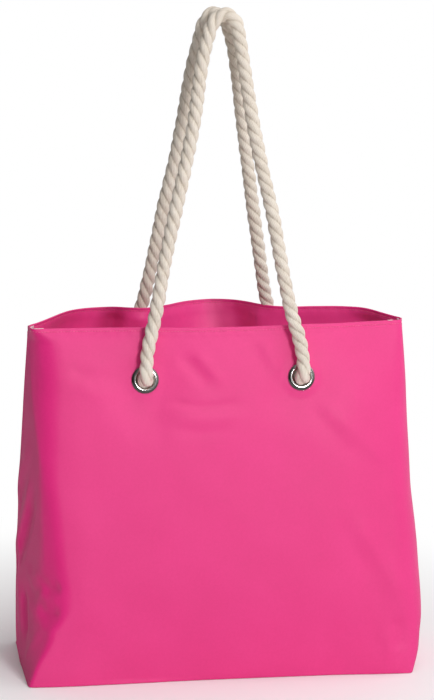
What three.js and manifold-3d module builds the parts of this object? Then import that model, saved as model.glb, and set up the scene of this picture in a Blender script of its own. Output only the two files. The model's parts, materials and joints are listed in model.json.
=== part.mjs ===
// Beach bag: a boxed-bottom tote in soft coated fabric, four metal eyelets and two
// rope handles knotted inside. Millimetres, +Z up, front faces -Y, left is -X,
// origin at the centre of the underside.
import * as THREE from 'three';
import { mergeVertices } from 'three/addons/utils/BufferGeometryUtils.js';
import Module from 'manifold-3d';

// ---------- driving dimensions ----------
const HEIGHT = 360;             // rim above the ground
const BASE_HALF_W = 198.5;      // half the base length
const BASE_HALF_D = 74.8;       // half the base depth
const RIM_HALF_W = 193;         // half the mouth width
const SIDE_BULGE = 8;           // how far the sides belly out low down
const CLOTH = 2.5;              // wall thickness
const LAYER_GAP = 0.6;          // clearance between layers that are pressed together
const BOTTOM_T = 2.5;           // bottom panel thickness
const WALL_Z0 = BOTTOM_T + LAYER_GAP;
const LINING_DEPTH = CLOTH + LAYER_GAP; // hem and tapes start this far inside the outer surface

// y of the walls
const FRONT_RIM_MID = -42;      // front rim at the middle of the bag
const FRONT_LEAN = 10;          // straight part of the front's lean toward the rim
const BACK_RIM_MID = 92;        // back rim at its middle bulge
const BACK_RIM_EYE = 53;        // back rim above its eyelets
const FRONT_RIM_CORNER = -19;   // where the front turns into the sides at the rim
const BACK_RIM_CORNER = 24;     // where the back turns into the sides at the rim
const BASE_CORNER = 66;         // the same turn at the base, front and back alike

const HEM_DEPTH = 12;
const HEM_T = 1.5;
const TAPE_W = 12;
const TAPE_T = 1.2;

const EYELET_X = 79.6;          // eyelets left and right of the middle
const EYELET_Z = 310;           // eyelet centres above the ground
const EYELET_BORE_R = 8.2;
const EYELET_BARREL_R = 9.0;
const EYELET_FLANGE_R = 13.0;
const PANEL_HOLE_R = 9.6;
const WASHER_IN_R = 9.5;
const WASHER_OUT_R = 12.8;
const WASHER_T = 1.1;
const ROUND_SEGMENTS = 28;      // around the eyelets, washers and panel holes

const ROPE_R = 7.0;
const PIVOT_OFF = 10.0;         // handle ends in front of the fabric
const PIVOT_CLEAR = 7.5;        // the rope stub in the eyelet stops this far from the handle's end
const KNOT_R = 15.5;
const HANDLE_TOP = 671;         // top of the rope centreline above the ground

// facets across a side wall and up the walls
const SIDE_COLS = 4;
const WALL_ROWS = 14;
const SIDE_ROWS = 2 * WALL_ROWS;

// ---------- materials ----------
const matte = (color, roughness) =>
  new THREE.MeshStandardMaterial({ color, roughness, metalness: 0 });
const PINK = matte('#ec4b8d', 0.78);
const PINK_INSIDE = matte('#e2447f', 0.7);
const TAPE = matte('#f3c3d2', 0.8);
const ROPE = matte('#e2d4c6', 0.9);
const NICKEL = new THREE.MeshStandardMaterial({ color: '#c9c9cb', roughness: 0.22, metalness: 1 });

const wasm = await Module();
wasm.setup();

// ---------- helpers ----------
const lerp = (a, b, t) => a + (b - a) * t;
const bell = (x, centre, width) => Math.exp(-(((x - centre) / width) ** 2));

// a hump that is exactly flat outside centre +- reach
function hump(x, centre, reach) {
  if (Math.abs(x - centre) >= reach) return 0;
  return Math.cos((Math.PI * (x - centre)) / (2 * reach)) ** 2;
}

function indexedGeometry(positions, triangles) {
  const geo = new THREE.BufferGeometry();
  geo.setAttribute('position', new THREE.BufferAttribute(new Float32Array(positions), 3));
  geo.setIndex(new THREE.BufferAttribute(new Uint32Array(triangles), 1));
  geo.computeVertexNormals();
  return geo;
}

// Seam vertices are merged and the collapsed triangles dropped, so the solid is watertight.
function toManifold(source) {
  const bare = source.clone();
  bare.deleteAttribute('normal');
  bare.deleteAttribute('uv');
  const geo = mergeVertices(bare, 1e-4);
  const index = geo.index.array;
  const triangles = [];
  for (let i = 0; i < index.length; i += 3) {
    const [a, b, c] = [index[i], index[i + 1], index[i + 2]];
    if (a !== b && b !== c && a !== c) triangles.push(a, b, c);
  }
  return new wasm.Manifold(new wasm.Mesh({
    numProp: 3,
    vertProperties: new Float32Array(geo.attributes.position.array),
    triVerts: new Uint32Array(triangles),
  }));
}

function fromManifold(solid) {
  const mesh = solid.getMesh();
  return indexedGeometry(mesh.vertProperties, mesh.triVerts);
}

// A thick patch of cloth between two depths below a surface.
// surface(u, v) gives { point, inward }, the inward normal pointing into the bag.
function patch(surface, cols, rows, depth0, depth1) {
  const positions = [];
  for (const depth of [depth0, depth1]) {
    for (let j = 0; j <= rows; j++) {
      for (let i = 0; i <= cols; i++) {
        const { point, inward } = surface(i / cols, j / rows);
        positions.push(...point.addScaledVector(inward, depth));
      }
    }
  }
  const stride = cols + 1;
  const layer = stride * (rows + 1);      // index offset from the outer to the inner face
  const triangles = [];
  const quad = (a, b, c, d) => triangles.push(a, b, c, a, c, d);
  for (let j = 0; j < rows; j++) {
    for (let i = 0; i < cols; i++) {
      const a = j * stride + i;
      const b = layer + a;
      quad(a, a + 1, a + stride + 1, a + stride);       // outer face
      quad(b, b + stride, b + stride + 1, b + 1);       // inner face
    }
  }
  for (let i = 0; i < cols; i++) {
    const top = rows * stride + i;
    quad(i, layer + i, layer + i + 1, i + 1);           // lower edge
    quad(top, top + 1, layer + top + 1, layer + top);   // upper edge
  }
  for (let j = 0; j < rows; j++) {
    const first = j * stride;
    const last = first + cols;
    quad(first, first + stride, layer + first + stride, layer + first);
    quad(last, layer + last, layer + last + stride, last + stride);
  }
  return indexedGeometry(positions, triangles);
}

const group = new THREE.Group();
group.name = 'beach_bag';
function add(name, geo, material) {
  const mesh = new THREE.Mesh(geo, material.clone());
  mesh.name = name;
  group.add(mesh);
}

// ---------- the bag's outer surface ----------
const BULGE_PEAK = 0.1055;      // greatest value of t (1 - t)^3, a quarter of the way up
function halfWidth(z) {
  const t = z / HEIGHT;
  return lerp(BASE_HALF_W, RIM_HALF_W, t) + SIDE_BULGE * t * (1 - t) ** 3 / BULGE_PEAK;
}

// y of the front wall away from its corners
function frontMiddleY(x, z) {
  const t = z / HEIGHT;
  const curl = BASE_HALF_D - FRONT_LEAN + FRONT_RIM_MID;
  return -BASE_HALF_D + FRONT_LEAN * t + curl * t ** 2.4;
}

// y of the back wall away from its corners: a middle bulge and one outboard of each eyelet,
// growing from BACK_BULGE_START up to the rim
const BACK_BULGE_START = 0.35;  // fraction of the height
const MIDDLE_BULGE = { x: 2, reach: 62, size: BACK_RIM_MID - BACK_RIM_EYE };
const OUTER_BULGE = { x: 138, reach: 42, size: 14 };
function backMiddleY(x, z) {
  const t = z / HEIGHT;
  const grow = THREE.MathUtils.smoothstep(t, BACK_BULGE_START, 1);
  const eyeY = BASE_HALF_D + (BACK_RIM_EYE - BASE_HALF_D) * t ** 2.2;
  const middle = hump(x, MIDDLE_BULGE.x, MIDDLE_BULGE.reach);
  const outer = hump(x, -OUTER_BULGE.x, OUTER_BULGE.reach)
    + hump(x, OUTER_BULGE.x, OUTER_BULGE.reach);
  return eyeY + grow * MIDDLE_BULGE.size * middle + grow * OUTER_BULGE.size * outer;
}

// outY is the y direction the face looks in; a higher squareness gives tighter corners
const BASE_SQUARENESS = 9;
const FRONT = {
  name: 'front', outY: -1, cols: 26,
  middleY: frontMiddleY, rimCorner: FRONT_RIM_CORNER, rimSquareness: 2.6,
};
const BACK = {
  name: 'back', outY: 1, cols: 34,
  middleY: backMiddleY, rimCorner: BACK_RIM_CORNER, rimSquareness: 4,
};
const FACES = [FRONT, BACK];
const SIDES = [{ name: 'left', outX: -1 }, { name: 'right', outX: 1 }];

// y where a face turns into the sides
const cornerY = (face, z) => lerp(face.outY * BASE_CORNER, face.rimCorner, (z / HEIGHT) ** 1.3);

function faceY(face, x, z) {
  const squareness = lerp(BASE_SQUARENESS, face.rimSquareness, (z / HEIGHT) ** 0.6);
  const corner = cornerY(face, z);
  const fullness = 1 - Math.abs(x / halfWidth(z)) ** squareness;
  return corner + (face.middleY(x, z) - corner) * fullness;
}

// point and inward normal on a face; normals stay level so the hem and base edges stay level
function facePoint(face, x, z) {
  const step = 0.5;
  const limit = halfWidth(z);
  const x1 = Math.min(x + step, limit);
  const x0 = Math.max(x - step, -limit);
  const along = new THREE.Vector2(x1 - x0, faceY(face, x1, z) - faceY(face, x0, z)).normalize();
  return {
    point: new THREE.Vector3(x, faceY(face, x, z), z),
    inward: new THREE.Vector3(face.outY * along.y, -face.outY * along.x, 0),
  };
}

// maps 0..1 to -1..1, spaced finely near both ends, where the faces are rounded
function spread(u) {
  const s = 2 * u - 1;
  return Math.sign(s) * (1 - (1 - Math.abs(s)) ** 1.45);
}

// trim is the fraction of the columns' range left off each end;
// the two faces run in opposite x directions so both wind outward
const faceSurface = (face, z0, z1, trim = 0) => (u, v) => {
  const z = lerp(z0, z1, v);
  const x = -face.outY * spread(lerp(trim, 1 - trim, u)) * halfWidth(z);
  return facePoint(face, x, z);
};

// frontEdge(z) and backEdge(z) give the y limits; u runs front to back on the right side
// and back to front on the left, so both wind outward
const sideSurface = (side, z0, z1, frontEdge, backEdge) => (u, v) => {
  const z = lerp(z0, z1, v);
  const front = frontEdge(z);
  const back = backEdge(z);
  const y = side.outX > 0 ? lerp(front, back, u) : lerp(back, front, u);
  return {
    point: new THREE.Vector3(side.outX * halfWidth(z), y, z),
    inward: new THREE.Vector3(-side.outX, 0, 0),
  };
};

// ---------- bottom: a rectangle with rounded corners ----------
function bottomPanel() {
  const w = BASE_HALF_W - 1.5;
  const d = BASE_HALF_D - 0.8;
  const r = 9;
  const outline = new THREE.Shape()
    .moveTo(-w + r, -d)
    .lineTo(w - r, -d)
    .quadraticCurveTo(w, -d, w, -d + r)
    .lineTo(w, d - r)
    .quadraticCurveTo(w, d, w - r, d)
    .lineTo(-w + r, d)
    .quadraticCurveTo(-w, d, -w, d - r)
    .lineTo(-w, -d + r)
    .quadraticCurveTo(-w, -d, -w + r, -d);
  return new THREE.ExtrudeGeometry(outline, {
    depth: BOTTOM_T, bevelEnabled: false, curveSegments: 5,
  });
}
add('bottom_panel', bottomPanel(), PINK);

// ---------- eyelet places ----------
// centre on the wall's outer surface, and the wall's outward normal there
function eyeletFrame(face, side) {
  const reach = 8;              // the slopes are taken this far to each side
  const x = side.outX * EYELET_X;
  const z = EYELET_Z;
  const riseY = faceY(face, x, z + reach) - faceY(face, x, z - reach);
  const acrossY = faceY(face, x + reach, z) - faceY(face, x - reach, z);
  const up = new THREE.Vector3(0, riseY, 2 * reach);
  const across = new THREE.Vector3(2 * reach, acrossY, 0);
  // across x up points toward -Y
  const out = new THREE.Vector3().crossVectors(across, up).normalize()
    .multiplyScalar(-face.outY);
  return { centre: new THREE.Vector3(x, faceY(face, x, z), z), out };
}

// places a part at an eyelet, its local +Y along the outward normal
function seat(geo, { centre, out }) {
  const turn = new THREE.Quaternion().setFromUnitVectors(new THREE.Vector3(0, 1, 0), out);
  return geo.clone().applyQuaternion(turn).translate(centre.x, centre.y, centre.z);
}

// ---------- walls ----------
function facePanel(face) {
  const drill = new THREE.CylinderGeometry(PANEL_HOLE_R, PANEL_HOLE_R, 24, ROUND_SEGMENTS);
  const cloth = patch(faceSurface(face, WALL_Z0, HEIGHT), face.cols, WALL_ROWS, 0, CLOTH);
  let panel = toManifold(cloth);
  for (const side of SIDES) {
    panel = panel.subtract(toManifold(seat(drill, eyeletFrame(face, side))));
  }
  return fromManifold(panel);
}

const SIDE_INSET = 4.5;         // side panels stop this far short of the face corners
function sidePanel(side) {
  const frontEdge = (z) => cornerY(FRONT, z) + SIDE_INSET;
  const backEdge = (z) => cornerY(BACK, z) - SIDE_INSET;
  const surface = sideSurface(side, WALL_Z0, HEIGHT, frontEdge, backEdge);
  return patch(surface, SIDE_COLS, SIDE_ROWS, 0, CLOTH);
}
for (const face of FACES) add(`${face.name}_panel`, facePanel(face), PINK);
for (const side of SIDES) add(`${side.name}_side_panel`, sidePanel(side), PINK);

// ---------- hem, folded inside along the rim ----------
// one column short of the panel at each end
function hem(face) {
  const surface = faceSurface(face, HEIGHT - HEM_DEPTH, HEIGHT, 1 / face.cols);
  return patch(surface, face.cols - 2, 1, LINING_DEPTH, LINING_DEPTH + HEM_T);
}
for (const face of FACES) add(`${face.name}_hem`, hem(face), PINK_INSIDE);

// ---------- seam binding tapes inside the sides ----------
const tape = (surface, cols, rows) =>
  patch(surface, cols, rows, LINING_DEPTH, LINING_DEPTH + TAPE_T);

// upright, following the middle of the side
function sideSeamTape(side) {
  const seamY = (z) => lerp(0, (FRONT_RIM_CORNER + BACK_RIM_CORNER) / 2, z / HEIGHT);
  const frontEdge = (z) => seamY(z) - TAPE_W / 2;
  const backEdge = (z) => seamY(z) + TAPE_W / 2;
  const z0 = WALL_Z0 + TAPE_W + 1;
  return tape(sideSurface(side, z0, HEIGHT - 1, frontEdge, backEdge), 1, SIDE_ROWS);
}

// level, along the foot of the side
function cornerSeamTape(side) {
  const halfLength = BASE_CORNER - 8;
  const [z0, z1] = [WALL_Z0 + 0.5, WALL_Z0 + TAPE_W];
  return tape(sideSurface(side, z0, z1, () => -halfLength, () => halfLength), SIDE_COLS, 1);
}
for (const side of SIDES) {
  add(`${side.name}_side_seam_tape`, sideSeamTape(side), TAPE);
  add(`${side.name}_corner_seam_tape`, cornerSeamTape(side), TAPE);
}

// ---------- eyelets: flanged barrel outside, washer inside ----------
const FLANGE_SEAT = LAYER_GAP;            // just off the fabric
const WASHER_SEAT = -(CLOTH + 0.35);      // just inside the fabric

// turns a closed profile of [radius, height along the outward axis]
function turned(profile) {
  const points = [...profile, profile[0]].map(([radius, h]) => new THREE.Vector2(radius, h));
  return new THREE.LatheGeometry(points, ROUND_SEGMENTS);
}
const eyeletGeo = turned([
  // inner lip and barrel
  [EYELET_BORE_R, WASHER_SEAT - 2.6],
  [10.6, WASHER_SEAT - 2.6],
  [11.0, WASHER_SEAT - 2.1],
  [10.6, WASHER_SEAT - 1.5],
  [EYELET_BARREL_R, WASHER_SEAT - 1.5],
  // flange
  [EYELET_BARREL_R, FLANGE_SEAT],
  [EYELET_FLANGE_R - 0.3, FLANGE_SEAT],
  [EYELET_FLANGE_R, FLANGE_SEAT + 0.4],
  [12.3, FLANGE_SEAT + 1.3],
  [10.9, FLANGE_SEAT + 1.75],
  [9.3, FLANGE_SEAT + 1.6],
  [EYELET_BORE_R + 0.2, FLANGE_SEAT + 0.8],
  [EYELET_BORE_R, FLANGE_SEAT],
]);
const washerGeo = turned([
  [WASHER_IN_R, WASHER_SEAT - WASHER_T],
  [WASHER_OUT_R - 0.5, WASHER_SEAT - WASHER_T],
  [WASHER_OUT_R, WASHER_SEAT - 0.7],
  [WASHER_OUT_R, WASHER_SEAT],
  [WASHER_IN_R, WASHER_SEAT],
]);
const weld = (geo) => fromManifold(toManifold(geo));

// ---------- rope end: stub in the eyelet, knot and short tail inside ----------
const ROPE_END_SEGMENTS = 14;
function ropeEnd() {
  const knotHalfHeight = KNOT_R * 0.8;
  const stubTop = PIVOT_OFF - PIVOT_CLEAR;
  const knotY = WASHER_SEAT - 4 - knotHalfHeight;
  const stub = new THREE.CylinderGeometry(ROPE_R, ROPE_R, stubTop - knotY, ROPE_END_SEGMENTS)
    .translate(0, (stubTop + knotY) / 2, 0);
  const knot = new THREE.IcosahedronGeometry(KNOT_R, 2)
    .scale(1.08, 0.8, 1.08)
    .translate(0, knotY, 0);
  // turned over so that the wide end meets the knot
  const tail = new THREE.CylinderGeometry(ROPE_R * 0.95, ROPE_R * 1.15, 22, ROPE_END_SEGMENTS)
    .rotateX(Math.PI)
    .translate(0, knotY - knotHalfHeight - 6, 0);
  return fromManifold(toManifold(stub).add(toManifold(knot)).add(toManifold(tail)));
}
const ropeEndGeo = ropeEnd();

for (const face of FACES) {
  for (const side of SIDES) {
    const frame = eyeletFrame(face, side);
    const prefix = `${face.name}_${side.name}`;
    add(`${prefix}_eyelet`, weld(seat(eyeletGeo, frame)), NICKEL);
    add(`${prefix}_washer`, weld(seat(washerGeo, frame)), NICKEL);
    add(`${prefix}_knot`, seat(ropeEndGeo, frame), ROPE);
  }
}

// ---------- rope handles ----------
const HANDLE_TOP_Y = 8.6;       // distance of each handle's top from the middle plane
// outward bow of the rope: its size, height above the pivots and spread
const BOW = { size: 4, rise: 35, spread: 45 };

// centrelines from the left pivot to the right one, [x, z]
const FRONT_PATH = [
  [-79.3, 335], [-75.2, 355], [-70.2, 376], [-61, 424], [-50, 474], [-40.5, 515],
  [-30.6, 567], [-20.6, 619], [-13.6, 648], [-8, 663.5], [2.6, HANDLE_TOP], [12.2, 663.5],
  [16.2, 648], [20.8, 619], [29, 567], [39.6, 515], [49, 474], [58, 424],
  [68, 374], [74.6, 352], [78.6, 333],
];
const BACK_PATH = [
  [-78.2, 332], [-72.5, 350], [-67, 370], [-57.5, 424], [-50, 470], [-43.8, 520],
  [-36.6, 562], [-28.3, 616], [-22.6, 645], [-17, 662], [-6, HANDLE_TOP], [5, 663],
  [12.5, 645], [18.7, 616], [27.4, 562], [35.3, 515], [43, 470], [51.6, 424],
  [63, 368], [70.5, 348], [76.8, 330],
];

function handle(face, path) {
  const [left, right] = SIDES.map((side) => {
    const { centre, out } = eyeletFrame(face, side);
    return centre.addScaledVector(out, PIVOT_OFF);
  });
  const ropeY = (z) => {
    const t = (z - left.z) / (HANDLE_TOP - left.z);
    const bow = BOW.size * bell(z, left.z + BOW.rise, BOW.spread);
    return lerp(left.y, face.outY * HANDLE_TOP_Y, t) + face.outY * bow;
  };
  const between = path.map(([x, z]) => new THREE.Vector3(x, ropeY(z), z));
  const centreline = new THREE.CatmullRomCurve3([left, ...between, right], false, 'centripetal');
  const section = new THREE.Shape().absarc(0, 0, ROPE_R, 0, Math.PI * 2, false);
  return new THREE.ExtrudeGeometry(section, {
    steps: 84, curveSegments: 6, bevelEnabled: false, extrudePath: centreline,
  });
}
add('front_handle_rope', handle(FRONT, FRONT_PATH), ROPE);
add('back_handle_rope', handle(BACK, BACK_PATH), ROPE);

export default group;
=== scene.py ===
"""A pink fabric tote bag with two cotton rope handles threaded through nickel eyelets.

It stands on z = 0 with its width along x: the front faces -y, the left side is at -x.
Pieces are worked out in millimetres and turned into metres when a mesh is made. Each half
of the bag is a grid of points: rows run from the foot up to the rim, columns from one side
seam to the other. The front half runs left to right, the back half right to left.
"""
import json
import math
from collections import Counter, namedtuple

import bmesh
import bpy
import numpy as np
from mathutils import Matrix, Vector


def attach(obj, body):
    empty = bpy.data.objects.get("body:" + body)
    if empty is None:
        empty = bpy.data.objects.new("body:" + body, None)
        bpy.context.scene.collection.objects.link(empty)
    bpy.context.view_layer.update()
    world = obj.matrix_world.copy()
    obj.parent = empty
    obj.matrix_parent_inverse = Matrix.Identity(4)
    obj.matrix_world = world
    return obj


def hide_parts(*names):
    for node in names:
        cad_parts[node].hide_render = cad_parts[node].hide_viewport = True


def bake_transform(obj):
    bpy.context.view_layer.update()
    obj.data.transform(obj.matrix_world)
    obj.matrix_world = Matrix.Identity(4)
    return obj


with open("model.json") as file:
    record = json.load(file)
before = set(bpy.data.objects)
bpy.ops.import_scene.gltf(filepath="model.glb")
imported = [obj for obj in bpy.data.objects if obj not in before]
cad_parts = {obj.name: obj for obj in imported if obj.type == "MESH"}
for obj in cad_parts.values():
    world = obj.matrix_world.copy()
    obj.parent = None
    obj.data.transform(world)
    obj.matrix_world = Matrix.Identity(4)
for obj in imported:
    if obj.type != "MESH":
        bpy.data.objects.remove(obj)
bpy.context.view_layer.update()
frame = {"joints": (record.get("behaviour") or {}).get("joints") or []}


scene = bpy.context.scene
MM = 0.001
UV_PER_MM = 0.01
HALVES = ("front", "back")

RIM = 360.2
EYE_X, EYE_Z = 79.6, 310.0
CLOTH_T = 0.9
HEM_T = 1.45
HEM_DEPTH = 12.0
STITCH_DOWN = 3.0


# ------------------------------------------------------------------ small maths
def smooth(t):
    t = np.clip(t, 0, 1)
    return t * t * (3 - 2 * t)


def unit(vectors, tiny=0.0):
    return vectors / (np.linalg.norm(vectors, axis=-1, keepdims=True) + tiny)


def arc_length(points):
    """Distance along a line of points, from its first point."""
    return np.concatenate([[0], np.cumsum(np.linalg.norm(np.diff(points, axis=0), axis=1))])


def sample(distance, lengths, values):
    """Rows of values looked up at distances along a line."""
    columns = [np.interp(distance, lengths, values[:, k]) for k in range(values.shape[1])]
    return np.stack(columns, -1)


def hermite(keys, values, slopes, x):
    i = np.clip(np.searchsorted(keys, x) - 1, 0, len(keys) - 2)
    step = keys[i + 1] - keys[i]
    t = np.clip((x - keys[i]) / step, 0, 1)
    return (
        (2 * t**3 - 3 * t**2 + 1) * values[i]
        + (t**3 - 2 * t**2 + t) * step * slopes[i]
        + (-2 * t**3 + 3 * t**2) * values[i + 1]
        + (t**3 - t**2) * step * slopes[i + 1]
    )


def keyed(keys, table, x):
    """One row of a table (a row per key) at x, by a cubic that doesn't overshoot."""
    keys, table = np.asarray(keys, float), np.asarray(table, float)
    step = np.diff(keys)[:, None]
    rise = np.diff(table, axis=0) / step
    slopes = np.zeros_like(table)
    slopes[0], slopes[-1] = rise[0], rise[-1]
    before, after = rise[:-1], rise[1:]
    w1, w2 = 2 * step[1:] + step[:-1], step[1:] + 2 * step[:-1]
    with np.errstate(divide="ignore", invalid="ignore"):
        harmonic = (w1 + w2) / (w1 / before + w2 / after)
    slopes[1:-1] = np.where(before * after > 0, harmonic, 0)
    return hermite(keys, table, slopes, x)


def flowing(keys, values, x):
    """Cubic through the keys with free slopes, for rounded curves."""
    keys = np.asarray(keys, float)
    return hermite(keys, values, np.gradient(values, keys), x)


def resample(grid, rows, cols):
    """Cubic resampling of a (rows, columns, k) grid."""
    def along_first(a, count):
        last = a.shape[0] - 1
        q = np.linspace(0, last, count)
        i = np.clip(q.astype(int), 0, last - 1)
        t = (q - i).reshape((-1,) + (1,) * (a.ndim - 1))
        p0, p1 = a[np.clip(i - 1, 0, last)], a[i]
        p2, p3 = a[i + 1], a[np.clip(i + 2, 0, last)]
        return 0.5 * (
            2 * p1
            + (p2 - p0) * t
            + (2 * p0 - 5 * p1 + 4 * p2 - p3) * t**2
            + (3 * p1 - p0 - 3 * p2 + p3) * t**3
        )

    grid = along_first(grid, rows)
    return np.swapaxes(along_first(np.swapaxes(grid, 0, 1), cols), 0, 1)


# ------------------------------------------------------------------ meshes
def mesh_object(name, points, faces, uv=None, smooth_shade=True):
    """A mesh from points, and optional cloth coordinates, in millimetres."""
    mesh = bpy.data.meshes.new(name)
    mesh.from_pydata([tuple(p) for p in np.asarray(points) * MM], [], faces)
    mesh.validate()
    if uv is not None:
        layer = mesh.uv_layers.new(name="cloth_mm")
        loops = np.zeros(len(mesh.loops), np.int32)
        mesh.loops.foreach_get("vertex_index", loops)
        coords = np.asarray(np.asarray(uv) * UV_PER_MM, np.float32)
        layer.data.foreach_set("uv", coords[loops].ravel())
    if smooth_shade:
        mesh.polygons.foreach_set("use_smooth", [True] * len(mesh.polygons))
    mesh.update()
    ob = bpy.data.objects.new(name, mesh)
    scene.collection.objects.link(ob)
    return ob


def tube_faces(rings, around, start=0, loop=False):
    """Quads between successive closed rings of points; loop joins the last to the first."""
    faces = []
    for i in range(rings if loop else rings - 1):
        a = start + i * around
        b = start + (i + 1) % rings * around
        for k in range(around):
            m = (k + 1) % around
            faces.append((a + k, a + m, b + m, b + k))
    return faces


def capped_tube_faces(rings, around, start=0):
    first = tuple(range(start, start + around))
    last = tuple(k + (rings - 1) * around for k in first)
    return tube_faces(rings, around, start) + [first[::-1], last]


def face_outwards(ob):
    bm = bmesh.new()
    bm.from_mesh(ob.data)
    bmesh.ops.recalc_face_normals(bm, faces=bm.faces)
    bm.to_mesh(ob.data)
    bm.free()
    ob.data.update()


# ------------------------------------------------------------------ the bag's level cuts
# Sharp corners of the level cut, before rounding. Each table has a column per height and
# rows of x, y and, at corners, the rounding measured along the cloth.
HEIGHTS = [0, 25, 60, 120, 200, 280, 330, 360]
FRONT_RIGHT = np.transpose([
    [200.0, 208.3, 211.6, 209.6, 202.0, 196.0, 192.4, 189.0],
    [-76.0, -74.0, -71.0, -62.0, -50.0, -36.0, -25.5, -17.5],
    [5, 18, 26, 30, 26, 20, 12, 4],
])
BACK_LEFT = np.transpose([
    [-198.5, -198.5, -198.0, -196.0, -189.0, -171.0, -151.0, -134.0],
    [75.0, 74.5, 73.0, 70.0, 66.0, 61.5, 59.0, 57.0],
    [5, 20, 34, 38, 36, 34, 30, 26],
])
BACK_RIGHT = np.transpose([
    [199.5, 207.0, 211.0, 208.0, 197.0, 182.0, 170.0, 158.0],
    [75.0, 74.0, 72.0, 68.0, 61.0, 51.0, 44.5, 41.0],
    [5, 20, 34, 38, 36, 34, 30, 24],
])
LEFT_SEAM = np.transpose([
    [-199.5, -203.6, -204.6, -203.8, -201.8, -198.8, -196.0, -194.0],
    [0.0, -0.5, -1.0, -3.0, -7.0, -11.0, -14.0, -16.0],
])
RIGHT_SEAM = np.transpose([
    [199.5, 210.0, 214.2, 211.0, 202.5, 196.4, 193.4, 192.0],
    [0.0, 0.0, -0.5, -1.5, -3.0, -4.5, -5.5, -6.0],
])
# The front left edge has slumped inwards into a sloping fold, with heights of its own.
# Behind it the cloth runs back at a slant, then turns along the side: the last two rows
# are how far out that turn is, and where it lies between the seam (0) and the corner (1).
FRONT_LEFT_HEIGHTS = [0, 20, 45, 85, 128, 200, 265, 345, 360]
FRONT_LEFT = np.transpose([
    [-198.5, -192.0, -178.5, -163.5, -166.5, -173.0, -179.5, -185.0, -193.0],
    [-75.4, -76.0, -75.8, -73.8, -70.8, -63.4, -54.7, -39.2, -35.0],
    [4, 6, 8, 9, 8, 9, 16, 24, 6],
    [0, 1.6, 5.0, 9.0, 8.0, 6.5, 4.5, 1.5, 0],
    [0.8, 0.74, 0.66, 0.6, 0.7, 0.78, 0.84, 0.84, 0.84],
])

# Front wall: y, a row per height and a column per fraction of the way out to a corner.
FRONT_FRACTIONS = [-1, -0.85, -0.6, -0.41, -0.2, 0, 0.2, 0.41, 0.6, 0.85, 1]
FRONT_HEIGHTS = [0, 50, 120, 240, 310, 340, 360]
FRONT_Y = [
    [-75.4, -76.6, -75.6, -74.4, -72.8, -72.2, -72.0, -72.0, -72.2, -75.2, -76.4],
    [-72, -73.0, -73.2, -73.2, -73.0, -73.0, -73.0, -73.2, -73.4, -73.4, -71.5],
    [-66.5, -69, -70, -70.3, -70.4, -70.5, -70.2, -70.0, -69.6, -67.5, -62],
    [-54, -57.6, -59, -59.4, -59.8, -60.0, -59.6, -58.8, -57.2, -51.0, -43],
    [-43.5, -46.8, -48.4, -48.9, -49.8, -50.2, -49.8, -48.9, -46.4, -38.0, -29.5],
    [-39, -40.5, -41.5, -43.2, -45.2, -45.4, -44.2, -42.0, -38.0, -28.0, -22.5],
    [-35, -34.8, -35.0, -38.6, -41.6, -41.4, -39.2, -35.6, -31.0, -21.8, -17.5],
]
# Back wall: y, a row per height and a column per x.
BACK_X = [-134, -100, -80, -64, -41, -22, -5, 12, 24, 36, 47, 56, 66, 80, 110, 134, 158]
BACK_HEIGHTS = [0, 60, 120, 200, 260, 310, 360]
BACK_Y = [
    [75] * 17,
    [73.2, 73.6, 73.8, 74, 74.4, 74.8, 75, 75, 75, 74.6, 74.2, 73.8, 73.4, 73, 72.6, 72.2, 72],
    [70.5, 71.2, 71.6, 72, 72.8, 73.6, 74, 74, 73.8, 73.4, 72.6, 72, 71.2, 70.6, 70, 69, 68.4],
    [66.5, 67.6, 68, 68.8, 71.4, 74, 75.4, 75.8, 75.2, 73.8, 71.6, 69.6, 67.8, 67, 66.2, 64.6,
     62.6],
    [63.4, 64.6, 63.8, 64.4, 69.2, 74.4, 77.8, 79, 78, 75.2, 70.8, 66.8, 63.6, 62.2, 61.6, 58.6,
     55],
    [60.6, 61.8, 59.0, 58.8, 67.0, 76.4, 82.4, 84.6, 83, 78.4, 71, 64.4, 59.4, 58.6, 57.4, 53,
     47.4],
    [57.0, 58.0, 53.6, 52.2, 66.5, 83.0, 91.5, 95.0, 93.0, 87.0, 76.0, 64.5, 53.5, 47.5, 47.0,
     45.5, 41.0],
]

SIDE_COLS, WALL_COLS = 34, 208
COLUMNS = 2 * SIDE_COLS + WALL_COLS + 1
CUT_HEIGHT = 360.0
# rows, as fractions of the height: closer together at the foot and near the rim
ROWS = np.concatenate([
    np.linspace(0, 0.03, 7)[:-1],
    np.linspace(0.03, 0.78, 76)[:-1],
    np.linspace(0.78, 1, 44),
])
SIDE_SAMPLES, WALL_SAMPLES = 60, 401


def front_cut(z):
    """Level cut of the front half: left seam, corner, wall, corner, right seam, sag."""
    left = keyed(FRONT_LEFT_HEIGHTS, FRONT_LEFT, z)
    right = keyed(HEIGHTS, FRONT_RIGHT, z)
    across = np.linspace(-1, 1, WALL_SAMPLES)
    y = flowing(FRONT_FRACTIONS, keyed(FRONT_HEIGHTS, FRONT_Y, z), across)
    x = np.where(across < 0, -left[0] * across, right[0] * across)
    # meet the corners exactly
    y = (
        y
        + (left[1] - y[0]) * smooth((-across - 0.7) / 0.3)
        + (right[1] - y[-1]) * smooth((across - 0.7) / 0.3)
    )
    seams = keyed(HEIGHTS, LEFT_SEAM, z), keyed(HEIGHTS, RIGHT_SEAM, z)
    return seams[0], left, np.stack([x, y], 1), right, seams[1], left[3:]


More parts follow.
